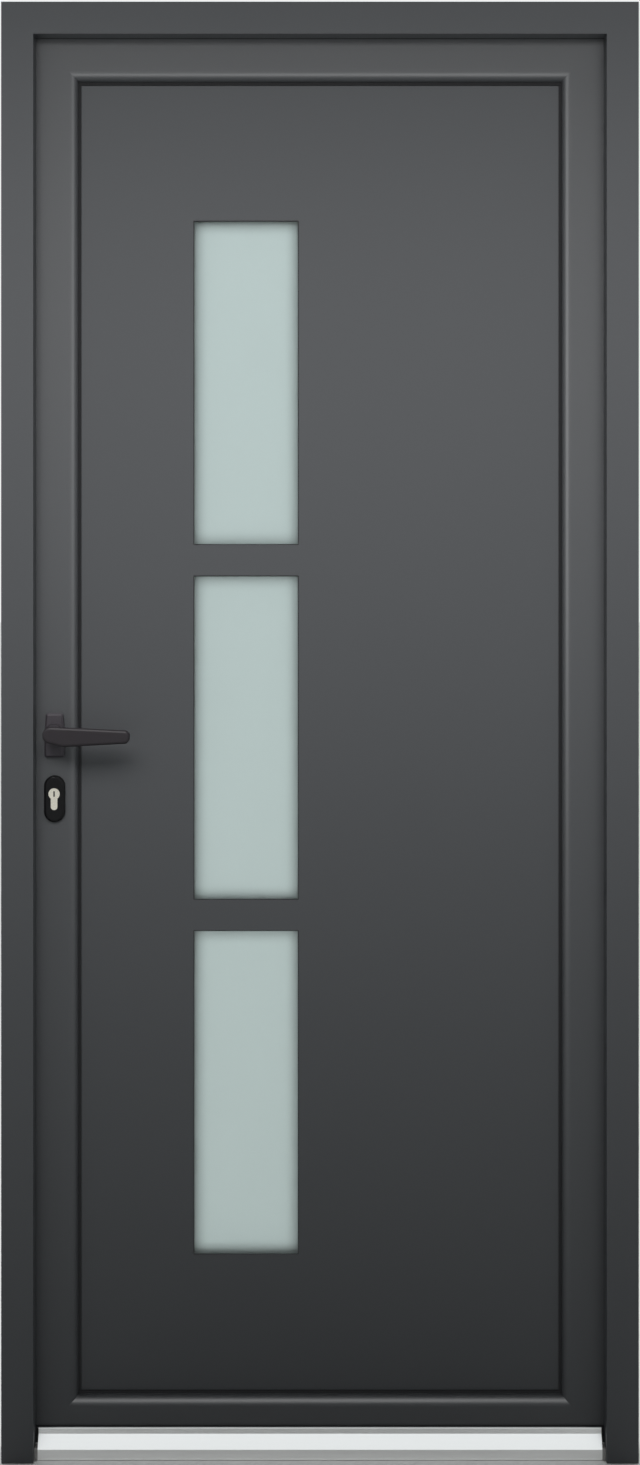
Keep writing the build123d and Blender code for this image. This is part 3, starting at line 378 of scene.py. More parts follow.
def drawn_grain():
    """Group: streaks of a drawn, brushed or turned surface, long where the stretch is small."""
    if "Drawn grain" in bpy.data.node_groups:
        return bpy.data.node_groups["Drawn grain"]
    tree, given, put = new_group("Drawn grain", ("Streak", "Roughness", "Spread"), ("Stretch",))
    place = tree.nodes.new("ShaderNodeTexCoord").outputs["Object"]
    stretched = tree.nodes.new("ShaderNodeVectorMath")
    stretched.operation = "MULTIPLY"
    join(tree, place, stretched.inputs[0])
    join(tree, given["Stretch"], stretched.inputs[1])
    streaks, swing = noise_node(tree, stretched.outputs["Vector"], 1.0, STREAK_DETAIL)
    shade(tree, given["Colour"], value_node(tree, "MULTIPLY_ADD", swing, given["Streak"], 1.0), put["Colour"])
    join(tree, value_node(tree, "MULTIPLY_ADD", swing, given["Spread"], given["Roughness"]), put["Roughness"])
    join(tree, streaks, put["Height"])
    return tree


def edge_shade():
    """Group: painted shade, a tint that darkens towards the edges of lights stacked at one pitch in a column,
    standing in for the shade of the panel's edge.
    """
    if "Edge shade" in bpy.data.node_groups:
        return bpy.data.node_groups["Edge shade"]
    tree = bpy.data.node_groups.new("Edge shade", "ShaderNodeTree")
    for name, kind in (("Colour", "Color"), ("Middle", "Vector"), ("Half size", "Vector"), ("Pitch", "Float"),
                       ("Reach", "Float"), ("Darkest", "Float")):
        tree.interface.new_socket(name, in_out="INPUT", socket_type=f"NodeSocket{kind}")
    tree.interface.new_socket("Colour", in_out="OUTPUT", socket_type="NodeSocketColor")
    given = tree.nodes.new("NodeGroupInput").outputs
    put = tree.nodes.new("NodeGroupOutput").inputs
    parts = {}
    place = tree.nodes.new("ShaderNodeTexCoord").outputs["Object"]
    for name, source in (("Place", place), ("Middle", given["Middle"]), ("Half size", given["Half size"])):
        split = tree.nodes.new("ShaderNodeSeparateXYZ")
        join(tree, source, split.inputs[0])
        parts[name] = split.outputs
    across = value_node(tree, "SUBTRACT", parts["Place"]["X"], parts["Middle"]["X"])
    up = value_node(tree, "SUBTRACT", parts["Place"]["Z"], parts["Middle"]["Z"])
    up = value_node(tree, "PINGPONG", up, value_node(tree, "MULTIPLY", given["Pitch"], 0.5))
    across = value_node(tree, "ABSOLUTE", across, None)
    room_across = value_node(tree, "SUBTRACT", parts["Half size"]["X"], across)
    room_up = value_node(tree, "SUBTRACT", parts["Half size"]["Z"], up)
    shares = []
    for room in (room_across, room_up):
        ramp = tree.nodes.new("ShaderNodeMapRange")
        ramp.interpolation_type = "SMOOTHERSTEP"
        join(tree, room, ramp.inputs["Value"])
        join(tree, given["Reach"], ramp.inputs["From Max"])
        join(tree, given["Darkest"], ramp.inputs["To Min"])
        shares.append(ramp.outputs["Result"])
    shade(tree, given["Colour"], value_node(tree, "MULTIPLY", *shares), put["Colour"])
    return tree


def surface(name, group, maps, bump, plain):
    """A material: one Principled surface fed by a grain group, with plain values on its other sockets."""
    material = bpy.data.materials.new(name)
    material.use_nodes = True
    tree = material.node_tree
    shader = next(node for node in tree.nodes if node.type == "BSDF_PRINCIPLED")
    grain = tree.nodes.new("ShaderNodeGroup")
    grain.node_tree = group
    for socket, value in maps.items():
        if socket == "Colour":
            value = (*value, 1.0)
        grain.inputs[socket].default_value = value
    join(tree, grain.outputs["Colour"], shader.inputs["Base Color"])
    join(tree, grain.outputs["Roughness"], shader.inputs["Roughness"])
    relief = tree.nodes.new("ShaderNodeBump")
    relief.inputs["Strength"].default_value = bump
    relief.inputs["Distance"].default_value = RELIEF_DEPTH
    join(tree, grain.outputs["Height"], relief.inputs["Height"])
    join(tree, relief.outputs["Normal"], shader.inputs["Normal"])
    for socket, value in plain.items():
        shader.inputs[socket].default_value = value
    return material


def sprayed(name, colour, roughness, grain=900.0, speckle=0.08, mottle=0.06, spread=0.06, bump=0.15, **plain):
    """A coated, moulded or blasted finish."""
    maps = {"Colour": colour, "Grain": grain, "Speckle": speckle, "Mottle": mottle, "Roughness": roughness,
            "Spread": spread}
    return surface(name, sprayed_grain(), maps, bump, {k.replace("_", " "): v for k, v in plain.items()})


def drawn(name, colour, roughness, stretch, streak=0.12, spread=0.12, bump=0.08, **plain):
    """A finish with streaks, of bare metal unless another Metallic value is given."""
    maps = {"Colour": colour, "Stretch": stretch, "Streak": streak, "Roughness": roughness, "Spread": spread}
    settings = {"Metallic": 1.0, **{k.replace("_", " "): v for k, v in plain.items()}}
    return surface(name, drawn_grain(), maps, bump, settings)


def satin_black(name, colour):
    """The fine satin finish of the levers and roses."""
    return sprayed(name, tuple(colour), 0.42, grain=1800.0, speckle=0.10, mottle=0.12, spread=0.08, bump=0.10,
                   Specular_IOR_Level=0.25)


def add_edge_shade(material, settings):
    """Paint shade into the tint of a grained material, darker towards the edges of the lights."""
    tree = material.node_tree
    grain = next(node for node in tree.nodes if node.type == "GROUP")
    shader = next(node for node in tree.nodes if node.type == "BSDF_PRINCIPLED")
    edge = tree.nodes.new("ShaderNodeGroup")
    edge.node_tree = edge_shade()
    for socket, value in settings.items():
        edge.inputs[socket].default_value = value
    join(tree, grain.outputs["Colour"], edge.inputs["Colour"])
    join(tree, edge.outputs["Colour"], shader.inputs["Base Color"])


def paint(nodes, material):
    """Give CAD nodes a material."""
    for name in nodes:
        mesh = frame["nodes"][name].data
        if not mesh.materials:
            mesh.materials.append(material)
        for index in range(len(mesh.materials)):
            mesh.materials[index] = material


# Steps that the fine pieces share


def joint_place(name):
    """A point on the axis of a joint."""
    return next(joint for joint in frame["joints"] if joint["name"] == name)["pos_m"]


def begin():
    """Object mode with nothing selected."""
    if bpy.context.mode != "OBJECT":
        bpy.ops.object.mode_set(mode="OBJECT")
    bpy.ops.object.select_all(action="DESELECT")


def choose(piece):
    """Select one piece alone and make it active."""
    begin()
    piece.select_set(True)
    bpy.context.view_layer.objects.active = piece


def settle():
    """Move the place, turn and scale of the selected piece into its mesh."""
    bpy.ops.object.transform_apply(location=True, rotation=True, scale=True)


def block(middle, size):
    """A plain block to start a piece from."""
    begin()
    bpy.ops.mesh.primitive_cube_add(size=1, location=middle)
    piece = bpy.context.object
    piece.scale = size
    settle()
    return piece


def rod(middle, radius, length, sides, turn=(0, 0, 0)):
    """A plain rod to start a piece from, upright unless it is turned."""
    begin()
    bpy.ops.mesh.primitive_cylinder_add(
        vertices=sides, radius=radius, depth=length, location=middle, rotation=turn)
    return bpy.context.object


def pick(piece, kind, wanted):
    """In edit mode, select the vertices (VERT) or faces (FACE) for which wanted(item) holds."""
    bpy.ops.object.mode_set(mode="EDIT")
    bpy.ops.mesh.select_mode(type=kind)
    bpy.ops.mesh.select_all(action="DESELECT")
    bpy.ops.object.mode_set(mode="OBJECT")
    found = 0
    for item in piece.data.vertices if kind == "VERT" else piece.data.polygons:
        item.select = wanted(item)
        found += item.select
    if not found:
        raise RuntimeError(f"{piece.name}: nothing lies where something is wanted")
    bpy.ops.object.mode_set(mode="EDIT")


def apply_modifier(piece, kind, name, **settings):
    """Add a modifier with its settings and apply it."""
    modifier = piece.modifiers.new(name, kind)
    for setting, value in settings.items():
        setattr(modifier, setting, value)
    bpy.context.view_layer.objects.active = piece
    bpy.ops.object.modifier_apply(modifier=modifier.name)


def soften(piece, width):
    """Round the sharp edges of a piece."""
    apply_modifier(piece, "BEVEL", "Soft edge", width=width, segments=BEVEL_STEPS, limit_method="ANGLE")


def cut_away(piece, cutter, name):
    """Cut one piece out of another, delete the cutter, and leave the first selected and active."""
    apply_modifier(piece, "BOOLEAN", name, operation="DIFFERENCE", object=cutter, solver="EXACT")
    choose(cutter)
    bpy.ops.object.delete()
    choose(piece)


def copy_of(piece):
    """A copy of a piece with a mesh of its own, selected and active."""
    choose(piece)
    bpy.ops.object.duplicate(linked=False)
    return bpy.context.object


def turned_copy(piece, pivot):
    """A copy of a piece, turned half round about an upright line through a pivot."""
    turned = copy_of(piece)
    bpy.ops.object.mode_set(mode="EDIT")
    bpy.ops.mesh.select_all(action="SELECT")
    bpy.ops.transform.rotate(value=math.pi, orient_axis="Z", center_override=pivot)
    return turned


def finish_piece(piece, name, body, material):
    """Name a new piece, settle its place into its mesh, give it its material and let it ride."""
    choose(piece)
    settle()
    piece.name = name
    piece.data.name = name
    piece.data.materials.clear()
    piece.data.materials.append(material)
    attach(piece, body)


# Fine pieces


def sealant_line(light, sizes):
    """A sloped line of sealant in the corner between the panel's edge and one outer pane."""
    low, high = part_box(f"{light}_frosted_pane")
    width = high[0] - low[0] - sizes.pane_rebate * 2
    height = high[2] - low[2] - sizes.pane_rebate * 2
    middle_x = (low[0] + high[0]) / 2
    middle_z = (low[2] + high[2]) / 2
    seat = low[1]
    begin()
    bpy.ops.mesh.primitive_plane_add(size=1, location=(middle_x, seat, middle_z), rotation=LYING)
    line = bpy.context.object
    line.scale = (width, height, 1)
    settle()
    bpy.ops.object.mode_set(mode="EDIT")
    bpy.ops.mesh.select_mode(type="FACE")
    bpy.ops.mesh.select_all(action="SELECT")
    bpy.ops.mesh.inset(thickness=sizes.sealant_width)
    bpy.ops.mesh.delete(type="FACE")
    bpy.ops.mesh.select_all(action="SELECT")
    bpy.ops.mesh.extrude_region_move(TRANSFORM_OT_translate={"value": (0, -sizes.sealant_rise, 0)})
    inner_x = width / 2 - sizes.sealant_width / 2
    inner_z = height / 2 - sizes.sealant_width / 2
    top = seat - sizes.sealant_rise / 2

    def on_inner_top(corner):
        inside = abs(corner.co.x - middle_x) < inner_x and abs(corner.co.z - middle_z) < inner_z
        return inside and corner.co.y < top

    pick(line, "VERT", on_inner_top)
    bpy.ops.transform.translate(value=(0, sizes.sealant_rise * SEALANT_SLOPE_SHARE, 0))
    bpy.ops.mesh.select_all(action="SELECT")
    bpy.ops.mesh.normals_make_consistent(inside=False)
    bpy.ops.object.mode_set(mode="OBJECT")
    soften(line, sizes.sealant_width * SEALANT_BEVEL_SHARE)
    bpy.ops.object.shade_smooth_by_angle(angle=SEALANT_SMOOTH_ANGLE)
    return line


class FRONTDOOR_OT_sealant(bpy.types.Operator):
    """Lay a black line of sealant round each light, outside and inside"""

    bl_idname = "front_door.sealant"
    bl_label = "Sealant lines"

    def execute(self, context):
        sizes = context.scene.front_door_sizes
        black = sprayed("Black sealant", colour=(0.012, 0.012, 0.013), roughness=0.55, grain=300.0, bump=0.1)
        front_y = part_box("middle_frosted_pane")[0][1]
        back_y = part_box("middle_inner_pane")[1][1]
        for light in LIGHTS:
            low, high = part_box(f"{light}_frosted_pane")
            pivot = ((low[0] + high[0]) / 2, (front_y + back_y) / 2, (low[2] + high[2]) / 2)
            outside = sealant_line(light, sizes)
            inside = turned_copy(outside, pivot)
            finish_piece(inside, f"{light}_light_sealant_inside", "leaf", black)
            finish_piece(outside, f"{light}_light_sealant_outside", "leaf", black)
        return {"FINISHED"}


class FRONTDOOR_OT_brush(bpy.types.Operator):
    """Make the brush below the leaf: a carrier and a row of tufts"""

    bl_idname = "front_door.brush"
    bl_label = "Brush below the leaf"

    def execute(self, context):
        sizes = context.scene.front_door_sizes
        low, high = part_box("bottom_seal")
        middle_x = (low[0] + high[0]) / 2
        middle_y = (low[1] + high[1]) / 2
        length = high[0] - low[0]
        depth = high[1] - low[1]
        split_z = high[2] - (high[2] - low[2]) * sizes.carrier_share
        rise = high[2] - split_z
        carrier = block((middle_x, middle_y, (split_z + high[2]) / 2), (length, depth, rise))
        pick(carrier, "FACE", lambda face: face.normal.z < -FACING)
        bpy.ops.mesh.inset(thickness=depth * CARRIER_WALL_SHARE)
        groove = (0, 0, rise * CARRIER_GROOVE_SHARE)
        bpy.ops.mesh.extrude_region_move(TRANSFORM_OT_translate={"value": groove})
        bpy.ops.object.mode_set(mode="OBJECT")
        soften(carrier, depth * CARRIER_BEVEL_SHARE)
        count = int((length - sizes.tuft_width) / sizes.tuft_pitch) + 1
        root_z = split_z + rise * TUFT_ROOT_SHARE
        half_z = (low[2] + root_z) / 2
        first_x = low[0] + sizes.tuft_width / 2
        tuft_size = (sizes.tuft_width, depth * TUFT_DEPTH_SHARE, root_z - low[2])
        tufts = block((first_x, middle_y, half_z), tuft_size)
        pick(tufts, "VERT", lambda corner: corner.co.z < half_z)
        bpy.ops.transform.resize(value=TUFT_TIP_SHARES, center_override=(first_x, middle_y, low[2]))
        bpy.ops.object.mode_set(mode="OBJECT")
        apply_modifier(tufts, "ARRAY", "Row", count=count, use_relative_offset=False,
                       use_constant_offset=True, constant_offset_displace=(sizes.tuft_pitch, 0, 0))
        pick(tufts, "VERT", lambda corner: corner.co.z < half_z)
        bpy.ops.transform.translate(value=(0, 0, TUFT_UNEVENNESS))
        bpy.ops.transform.vertex_random(offset=TUFT_UNEVENNESS, uniform=1.0, seed=TUFT_SEED)
        bpy.ops.object.mode_set(mode="OBJECT")
        fibre = drawn("Brush fibre", colour=(0.028, 0.027, 0.026), roughness=0.75,
                      stretch=(900.0, 900.0, 40.0), streak=0.7, Metallic=0.0)
        metal = drawn("Brush carrier", colour=(0.55, 0.55, 0.56), roughness=0.4, stretch=(30.0, 700.0, 700.0))
        finish_piece(carrier, "brush_carrier", "leaf", metal)
        finish_piece(tufts, "brush_tufts", "leaf", fibre)
        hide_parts("bottom_seal")
        return {"FINISHED"}


class FRONTDOOR_OT_grub_screws(bpy.types.Operator):
    """Set a small screw with a hexagon socket in the neck of each lever"""

    bl_idname = "front_door.grub_screws"
    bl_label = "Set screws of the levers"

    def execute(self, context):
        sizes = context.scene.front_door_sizes
        plated = drawn("Set screw", colour=(0.30, 0.30, 0.30), roughness=0.35, stretch=(600.0, 600.0, 600.0))
        spindle = joint_place("lever_turn")
        outer_y = (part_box("outer_rose")[0][1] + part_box("outer_lever")[0][1] + LEVER_GRIP_DEPTH) / 2
        inner_y = (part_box("inner_rose")[1][1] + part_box("inner_lever")[1][1] - LEVER_GRIP_DEPTH) / 2
        foot = spindle[2] - sizes.neck_radius
        middle = (spindle[0], outer_y, foot + SCREW_HEIGHT / 2)
        screw = rod(middle, sizes.grub_radius, SCREW_HEIGHT, SCREW_SIDES)
        socket = rod((spindle[0], outer_y, foot), sizes.grub_socket, SCREW_HEIGHT, SOCKET_SIDES)
        cut_away(screw, socket, "Socket")
        soften(screw, SCREW_BEVEL)
        bpy.ops.object.shade_smooth_by_angle(angle=SCREW_SMOOTH_ANGLE)
        inner = copy_of(screw)
        bpy.ops.transform.translate(value=(0, inner_y - outer_y, 0))
        finish_piece(inner, "inner_lever_set_screw", "handle", plated)
        finish_piece(screw, "outer_lever_set_screw", "handle", plated)
        return {"FINISHED"}


class FRONTDOOR_OT_collars(bpy.types.Operator):
    """Set a rounded collar on each rose, round the neck of its lever"""

    bl_idname = "front_door.collars"
    bl_label = "Collars of the roses"

    def execute(self, context):
        sizes = context.scene.front_door_sizes
        # Painted light: the collars take the roses' black, lighter than the levers' to stand in for the light
        # on them
        finish = satin_black("Satin black collar with painted light", context.scene.front_door_finishes.rose_colour_with_painted_light)
        spindle = joint_place("lever_turn")
        outer_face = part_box("outer_rose")[0][1] + sizes.collar_step
        inner_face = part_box("inner_rose")[1][1] - sizes.collar_step
        middle = (spindle[0], outer_face - sizes.collar_height / 2, spindle[2])
        pivot = (spindle[0], (outer_face + inner_face) / 2, spindle[2])
        taper = sizes.collar_taper
        collar = rod(middle, sizes.collar_radius, sizes.collar_height, COLLAR_SIDES, LYING)
        settle()
        pick(collar, "VERT", lambda corner: corner.co.y < middle[1])
        bpy.ops.transform.resize(value=(taper, 1, taper), center_override=middle)
        bpy.ops.object.mode_set(mode="OBJECT")
        apply_modifier(collar, "BEVEL", "Rounded rim", width=sizes.collar_height * COLLAR_RIM_SHARE,
                       segments=COLLAR_RIM_STEPS, limit_method="ANGLE", angle_limit=COLLAR_RIM_ANGLE)
        bore = rod(middle, sizes.neck_radius, sizes.collar_height * COLLAR_BORE_SHARE, COLLAR_SIDES, LYING)
        cut_away(collar, bore, "Bore")
        bpy.ops.object.shade_smooth_by_angle(angle=COLLAR_SMOOTH_ANGLE)
        inner = turned_copy(collar, pivot)
        finish_piece(inner, "inner_rose_collar", "leaf", finish)
        finish_piece(collar, "outer_rose_collar", "leaf", finish)
        return {"FINISHED"}


class FRONTDOOR_OT_keyways(bpy.types.Operator):
    """Set a dark plate in the keyway at each end of the cylinder's plug, as painted shade for the depth of
    the slot
    """

    bl_idname = "front_door.keyways"
    bl_label = "Painted shade in the keyways"

    def execute(self, context):
        sizes = context.scene.front_door_sizes
        # Painted shade: a near-black plate stands in for the shade deep in each keyway
        dark = drawn("Painted keyway shade", colour=(0.020, 0.019, 0.018), roughness=0.6,
                     stretch=(900.0, 200.0, 900.0), Metallic=0.0)
        low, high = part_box("key_plug")
        axis = joint_place("key_turn")
        thick = sizes.shade_plate_thickness
        middle = (axis[0], low[1] + sizes.shade_plate_depth + thick / 2, axis[2])
        pivot = (axis[0], (low[1] + high[1]) / 2, axis[2])
        shade_plate = block(middle, (sizes.keyway_width, thick, sizes.keyway_height))
        pick(shade_plate, "FACE", lambda face: face.normal.y < -FACING)
        bpy.ops.mesh.inset(thickness=sizes.keyway_width * SHADE_PLATE_INSET_SHARE)
        bpy.ops.transform.translate(value=(0, thick * SHADE_PLATE_SINK_SHARE, 0))
        bpy.ops.object.mode_set(mode="OBJECT")
        soften(shade_plate, sizes.keyway_width * SHADE_PLATE_BEVEL_SHARE)
        inner = turned_copy(shade_plate, pivot)
        finish_piece(inner, "inner_keyway_shade_plate", "plug", dark)
        finish_piece(shade_plate, "outer_keyway_shade_plate", "plug", dark)
        return {"FINISHED"}


# Finishes of the CAD pieces


class FRONTDOOR_OT_powder_coat(bpy.types.Operator):
    """Coat the bars, beads, hinges and panel in satin anthracite"""

    bl_idname = "front_door.powder_coat"
    bl_label = "Powder coat"

    def execute(self, context):
        look = context.scene.front_door_finishes
        bars = sprayed("Anthracite powder coat", look.coat_colour, look.coat_roughness, grain=1400.0,
                       speckle=0.10, mottle=0.07, spread=0.05, bump=0.12, Specular_IOR_Level=0.3)
        panel_roughness = look.coat_roughness + PANEL_EXTRA_ROUGHNESS
        skins = sprayed("Anthracite panel coat", look.coat_colour, panel_roughness, grain=1100.0,
                        speckle=0.06, mottle=0.04, spread=0.04, bump=0.08, Specular_IOR_Level=0.3)
        paint(PROFILES, bars)
        paint(PANEL_SKINS, skins)
        return {"FINISHED"}


class FRONTDOOR_OT_seals(bpy.types.Operator):
    """Finish the rubber gaskets, the foam core and the plastic packers"""

    bl_idname = "front_door.seals"
    bl_label = "Seals and plastics"

    def execute(self, context):
        rubber = sprayed("Gasket rubber", colour=(0.010, 0.010, 0.011), roughness=0.62, grain=500.0, bump=0.2,
                         Specular_IOR_Level=0.3)
        plastic = sprayed("Grey plastic", colour=(0.34, 0.335, 0.33), roughness=0.5, grain=700.0, bump=0.12)
        foam = sprayed("Panel foam", colour=(0.62, 0.66, 0.72), roughness=0.9, grain=260.0, speckle=0.25,
                       bump=0.6)
        paint(SEALS, rubber)
        paint(GREY_PLASTIC, plastic)
        paint(("panel_core",), foam)
        return {"FINISHED"}


class FRONTDOOR_OT_glazing(bpy.types.Operator):
    """Finish the frosted panes, the clear panes behind them and their spacers"""

    bl_idname = "front_door.glazing"
    bl_label = "Glazing"

    def execute(self, context):
        look = context.scene.front_door_finishes
        frosted = sprayed("Frosted glass", look.frosted_colour, look.frosted_roughness, grain=1600.0,
                          speckle=0.03, mottle=0.02, spread=0.03, bump=0.1, Transmission_Weight=1.0, IOR=1.45)
        clear = sprayed("Clear glass", colour=(0.90, 0.955, 0.945), roughness=0.03, grain=40.0, speckle=0.0,
                        mottle=0.01, spread=0.02, bump=0.0, Transmission_Weight=1.0, IOR=1.5)
        spacer = drawn("Dark spacer", colour=(0.10, 0.10, 0.10), roughness=0.5, stretch=(60.0, 900.0, 60.0))
        low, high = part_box("middle_frosted_pane")
        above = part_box("upper_frosted_pane")
        hidden = context.scene.front_door_sizes.pane_rebate
        # Painted shade: the frosted panes' tint darkens towards their edges, where the panel's edge would
        # shade them
        add_edge_shade(frosted, {
            "Middle": [(a + b) / 2 for a, b in zip(low, high)],
            "Half size": [(b - a) / 2 - hidden for a, b in zip(low, high)],
            "Pitch": above[0][2] - low[2],
            "Reach": look.vignette_reach,
            "Darkest": look.vignette_darkest,
        })
        paint([f"{light}_frosted_pane" for light in LIGHTS], frosted)
        paint([f"{light}_inner_pane" for light in LIGHTS], clear)
        paint(("glass_spacers",), spacer)
        return {"FINISHED"}


class FRONTDOOR_OT_sill(bpy.types.Operator):
    """Finish the threshold and the corner cleats in natural aluminium"""

    bl_idname = "front_door.sill"
    bl_label = "Threshold"

    def execute(self, context):
        look = context.scene.front_door_finishes
        anodised = drawn("Anodised aluminium", look.sill_colour, roughness=0.38, stretch=(6.0, 900.0, 900.0),
                         streak=0.05, spread=0.10, bump=0.04)
        cast = drawn("Cast cleat", colour=(0.62, 0.62, 0.63), roughness=0.5, stretch=(200.0, 200.0, 200.0),
                     bump=0.3)
        paint(SILL, anodised)
        paint(CLEATS, cast)
        return {"FINISHED"}


class FRONTDOOR_OT_handles(bpy.types.Operator):
    """Finish the levers, roses, escutcheons and the lock cylinder"""

    bl_idname = "front_door.handles"
    bl_label = "Handles and cylinder"

    def execute(self, context):
        look = context.scene.front_door_finishes
        gloss = sprayed("Gloss black cover", colour=(0.005, 0.005, 0.0055), roughness=0.18, grain=60.0,
                        speckle=0.02, mottle=0.05, spread=0.06, bump=0.02, Specular_IOR_Level=0.12)
        nickel = drawn("Nickel plated brass", look.cylinder_colour, roughness=0.26,
                       stretch=(700.0, 90.0, 700.0), streak=0.08, spread=0.10, bump=0.04)
        # Painted light: the roses get a lighter black than the levers, standing in for the light that falls
        # on them
        paint(ROSES, satin_black("Satin black rose with painted light", look.rose_colour_with_painted_light))
        paint(LEVERS, satin_black("Satin black lever", look.handle_colour))
        paint(ESCUTCHEONS, gloss)
        paint(CYLINDER, nickel)
        return {"FINISHED"}


class FRONTDOOR_OT_lock_metal(bpy.types.Operator):
    """Finish the strikes, faceplate, cases, bolts and screws in steel"""

    bl_idname = "front_door.lock_metal"
    bl_label = "Lock metal"

    def execute(self, context):
        brushed = drawn("Brushed steel", colour=(0.60, 0.60, 0.59), roughness=0.34,
                        stretch=(900.0, 900.0, 25.0))
        bright = drawn("Bright steel", colour=(0.66, 0.65, 0.63), roughness=0.28,
                       stretch=(500.0, 500.0, 500.0))
        paint(LOCK_STEEL, brushed)
        paint(TURNED_STEEL, bright)
        return {"FINISHED"}


# Studio


def soft_lamp(name, place, aim, size, power):
    """A rectangular soft lamp that points from its place at an aim, and isn't mirrored in what it lights."""
    begin()
    bpy.ops.object.light_add(type="AREA", location=place)
    lamp = bpy.context.object
    lamp.name = name
    lamp.data.shape = "RECTANGLE"
    lamp.data.size = size[0]
    lamp.data.size_y = size[1]
    lamp.data.energy = power
    lamp.visible_camera = False
    lamp.visible_transmission = False
    lamp.visible_glossy = False
    run = [to - at for at, to in zip(place, aim)]
    flat = math.hypot(run[0], run[1])
    lamp.rotation_euler = (math.atan2(flat, -run[2]), 0, math.atan2(run[1], run[0]) - math.pi / 2)
    return lamp


def sheen_lamp(sheen, strength):
    """A soft lamp that only some pieces receive, and mirror in their rounded edges."""
    power = strength * sheen.share * math.pi * sheen.size[0] * sheen.size[1]
    lamp = soft_lamp(sheen.name, sheen.place, sheen.aim, sheen.size, power)
    lamp.visible_glossy = True
    lamp.visible_diffuse = sheen.lights
    lit = bpy.data.collections.new(f"{sheen.name}_bars")
    for piece in sheen.pieces:
        lit.objects.link(frame["nodes"][piece])
    lamp.light_linking.receiver_collection = lit


def room_light(behind, ahead, backdrop):
    """A plain room: pale to look at, and brighter behind the door than in front of it."""
    world = bpy.data.worlds.new("Studio room")
    bpy.context.scene.world = world
    world.use_nodes = True
    tree = world.node_tree
    background = next(node for node in tree.nodes if node.type == "BACKGROUND")
    split = tree.nodes.new("ShaderNodeSeparateXYZ")
    join(tree, tree.nodes.new("ShaderNodeTexCoord").outputs["Generated"], split.inputs[0])
    ramp = tree.nodes.new("ShaderNodeMapRange")
    ramp.interpolation_type = "SMOOTHSTEP"
    ramp.inputs["From Min"].default_value = ROOM_AHEAD_UNTIL
    ramp.inputs["From Max"].default_value = ROOM_BEHIND_FROM
    ramp.inputs["To Min"].default_value = ahead
    ramp.inputs["To Max"].default_value = behind
    join(tree, split.outputs["Y"], ramp.inputs["Value"])
    path = tree.nodes.new("ShaderNodeLightPath").outputs
    looked_at = value_node(tree, "MAXIMUM", path["Is Camera Ray"], path["Is Glossy Ray"])
    looked_at = value_node(tree, "MAXIMUM", looked_at, path["Is Transmission Ray"])
    mix = tree.nodes.new("ShaderNodeMix")
    join(tree, looked_at, mix.inputs["Factor"])
    join(tree, ramp.outputs["Result"], mix.inputs["A"])
    mix.inputs["B"].default_value = backdrop
    join(tree, mix.outputs["Result"], background.inputs["Strength"])
    background.inputs["Color"].default_value = ROOM_COLOUR


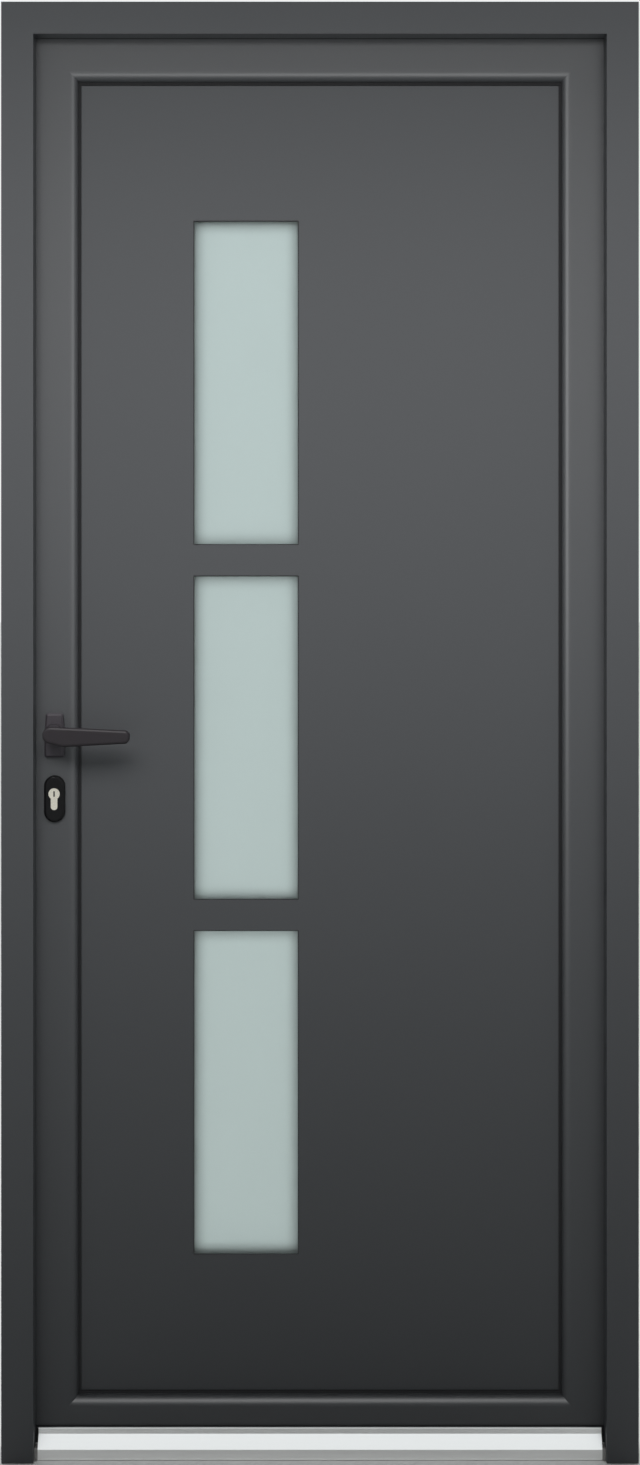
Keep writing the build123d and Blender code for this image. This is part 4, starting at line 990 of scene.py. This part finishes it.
class FRONTDOOR_OT_studio(bpy.types.Operator):
    """Set up the floor, the lamps, the room light and the camera"""

    bl_idname = "front_door.studio"
    bl_label = "Studio"

    def execute(self, context):
        stage = context.scene.front_door_studio
        face_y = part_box("frame_head")[0][1]
        begin()
        bpy.ops.mesh.primitive_plane_add(size=FLOOR_SIZE, location=(0, 0, -FLOOR_DROP))
        floor = bpy.context.object
        floor.name = "studio_floor"
        pale = sprayed("Pale floor", stage.floor_colour, roughness=0.8, grain=120.0, speckle=0.02,
                       mottle=0.02, bump=0.0)
        floor.data.materials.append(pale)
        key_place = (0, face_y - stage.key_distance, stage.key_height)
        key = soft_lamp("key", key_place, (0, face_y, stage.key_aim), KEY_SIZE, stage.key_power)
        key.data.spread = stage.key_spread
        key.data.color = KEY_COLOUR
        for sheen in SHEENS:
            sheen_lamp(sheen, stage.sheen_strength)
        room_light(stage.sky_behind, stage.sky_ahead, stage.backdrop)
        begin()
        camera_place = (0, face_y - stage.camera_distance, stage.camera_height)
        bpy.ops.object.camera_add(location=camera_place, rotation=(math.pi / 2, 0, 0))
        camera = bpy.context.object
        camera.name = "studio_camera"
        camera.data.sensor_width = SENSOR_WIDTH
        camera.data.lens = SENSOR_WIDTH * stage.camera_distance / stage.view_height
        camera.data.shift_y = (stage.view_middle - stage.camera_height) / stage.view_height
        camera.data.clip_end = VIEW_REACH
        context.scene.camera = camera
        context.scene.view_settings.view_transform = "Standard"
        return {"FINISHED"}


class FRONTDOOR_PT_looks(bpy.types.Panel):
    """The steps that dress the door, in order"""

    bl_idname = "FRONTDOOR_PT_looks"
    bl_label = "Front door"
    bl_space_type = "VIEW_3D"
    bl_region_type = "UI"
    bl_category = "Front door"

    def draw(self, context):
        for step in STEPS:
            self.layout.operator(step.bl_idname)
        for group in ("front_door_sizes", "front_door_finishes", "front_door_studio"):
            owner = getattr(context.scene, group)
            column = self.layout.column()
            for name in owner.__annotations__:
                column.prop(owner, name)


STEPS = (
    FRONTDOOR_OT_powder_coat, FRONTDOOR_OT_seals, FRONTDOOR_OT_glazing, FRONTDOOR_OT_sill,
    FRONTDOOR_OT_handles, FRONTDOOR_OT_lock_metal, FRONTDOOR_OT_sealant, FRONTDOOR_OT_brush,
    FRONTDOOR_OT_grub_screws, FRONTDOOR_OT_collars, FRONTDOOR_OT_keyways, FRONTDOOR_OT_studio,
)
GROUPS = {
    "front_door_sizes": FrontDoorSizes,
    "front_door_finishes": FrontDoorFinishes,
    "front_door_studio": FrontDoorStudio,
}


def register():
    for name, group in GROUPS.items():
        bpy.utils.register_class(group)
        setattr(bpy.types.Scene, name, bpy.props.PointerProperty(type=group))
    for step in STEPS:
        bpy.utils.register_class(step)
    bpy.utils.register_class(FRONTDOOR_PT_looks)


def unregister():
    bpy.utils.unregister_class(FRONTDOOR_PT_looks)
    for step in reversed(STEPS):
        bpy.utils.unregister_class(step)
    for name, group in GROUPS.items():
        delattr(bpy.types.Scene, name)
        bpy.utils.unregister_class(group)


def main():
    register()
    bpy.ops.front_door.powder_coat()
    bpy.ops.front_door.seals()
    bpy.ops.front_door.glazing()
    bpy.ops.front_door.sill()
    bpy.ops.front_door.handles()
    bpy.ops.front_door.lock_metal()
    bpy.ops.front_door.sealant()
    bpy.ops.front_door.brush()
    bpy.ops.front_door.grub_screws()
    bpy.ops.front_door.collars()
    bpy.ops.front_door.keyways()
    bpy.ops.front_door.studio()


if __name__ == "__main__":
    main()
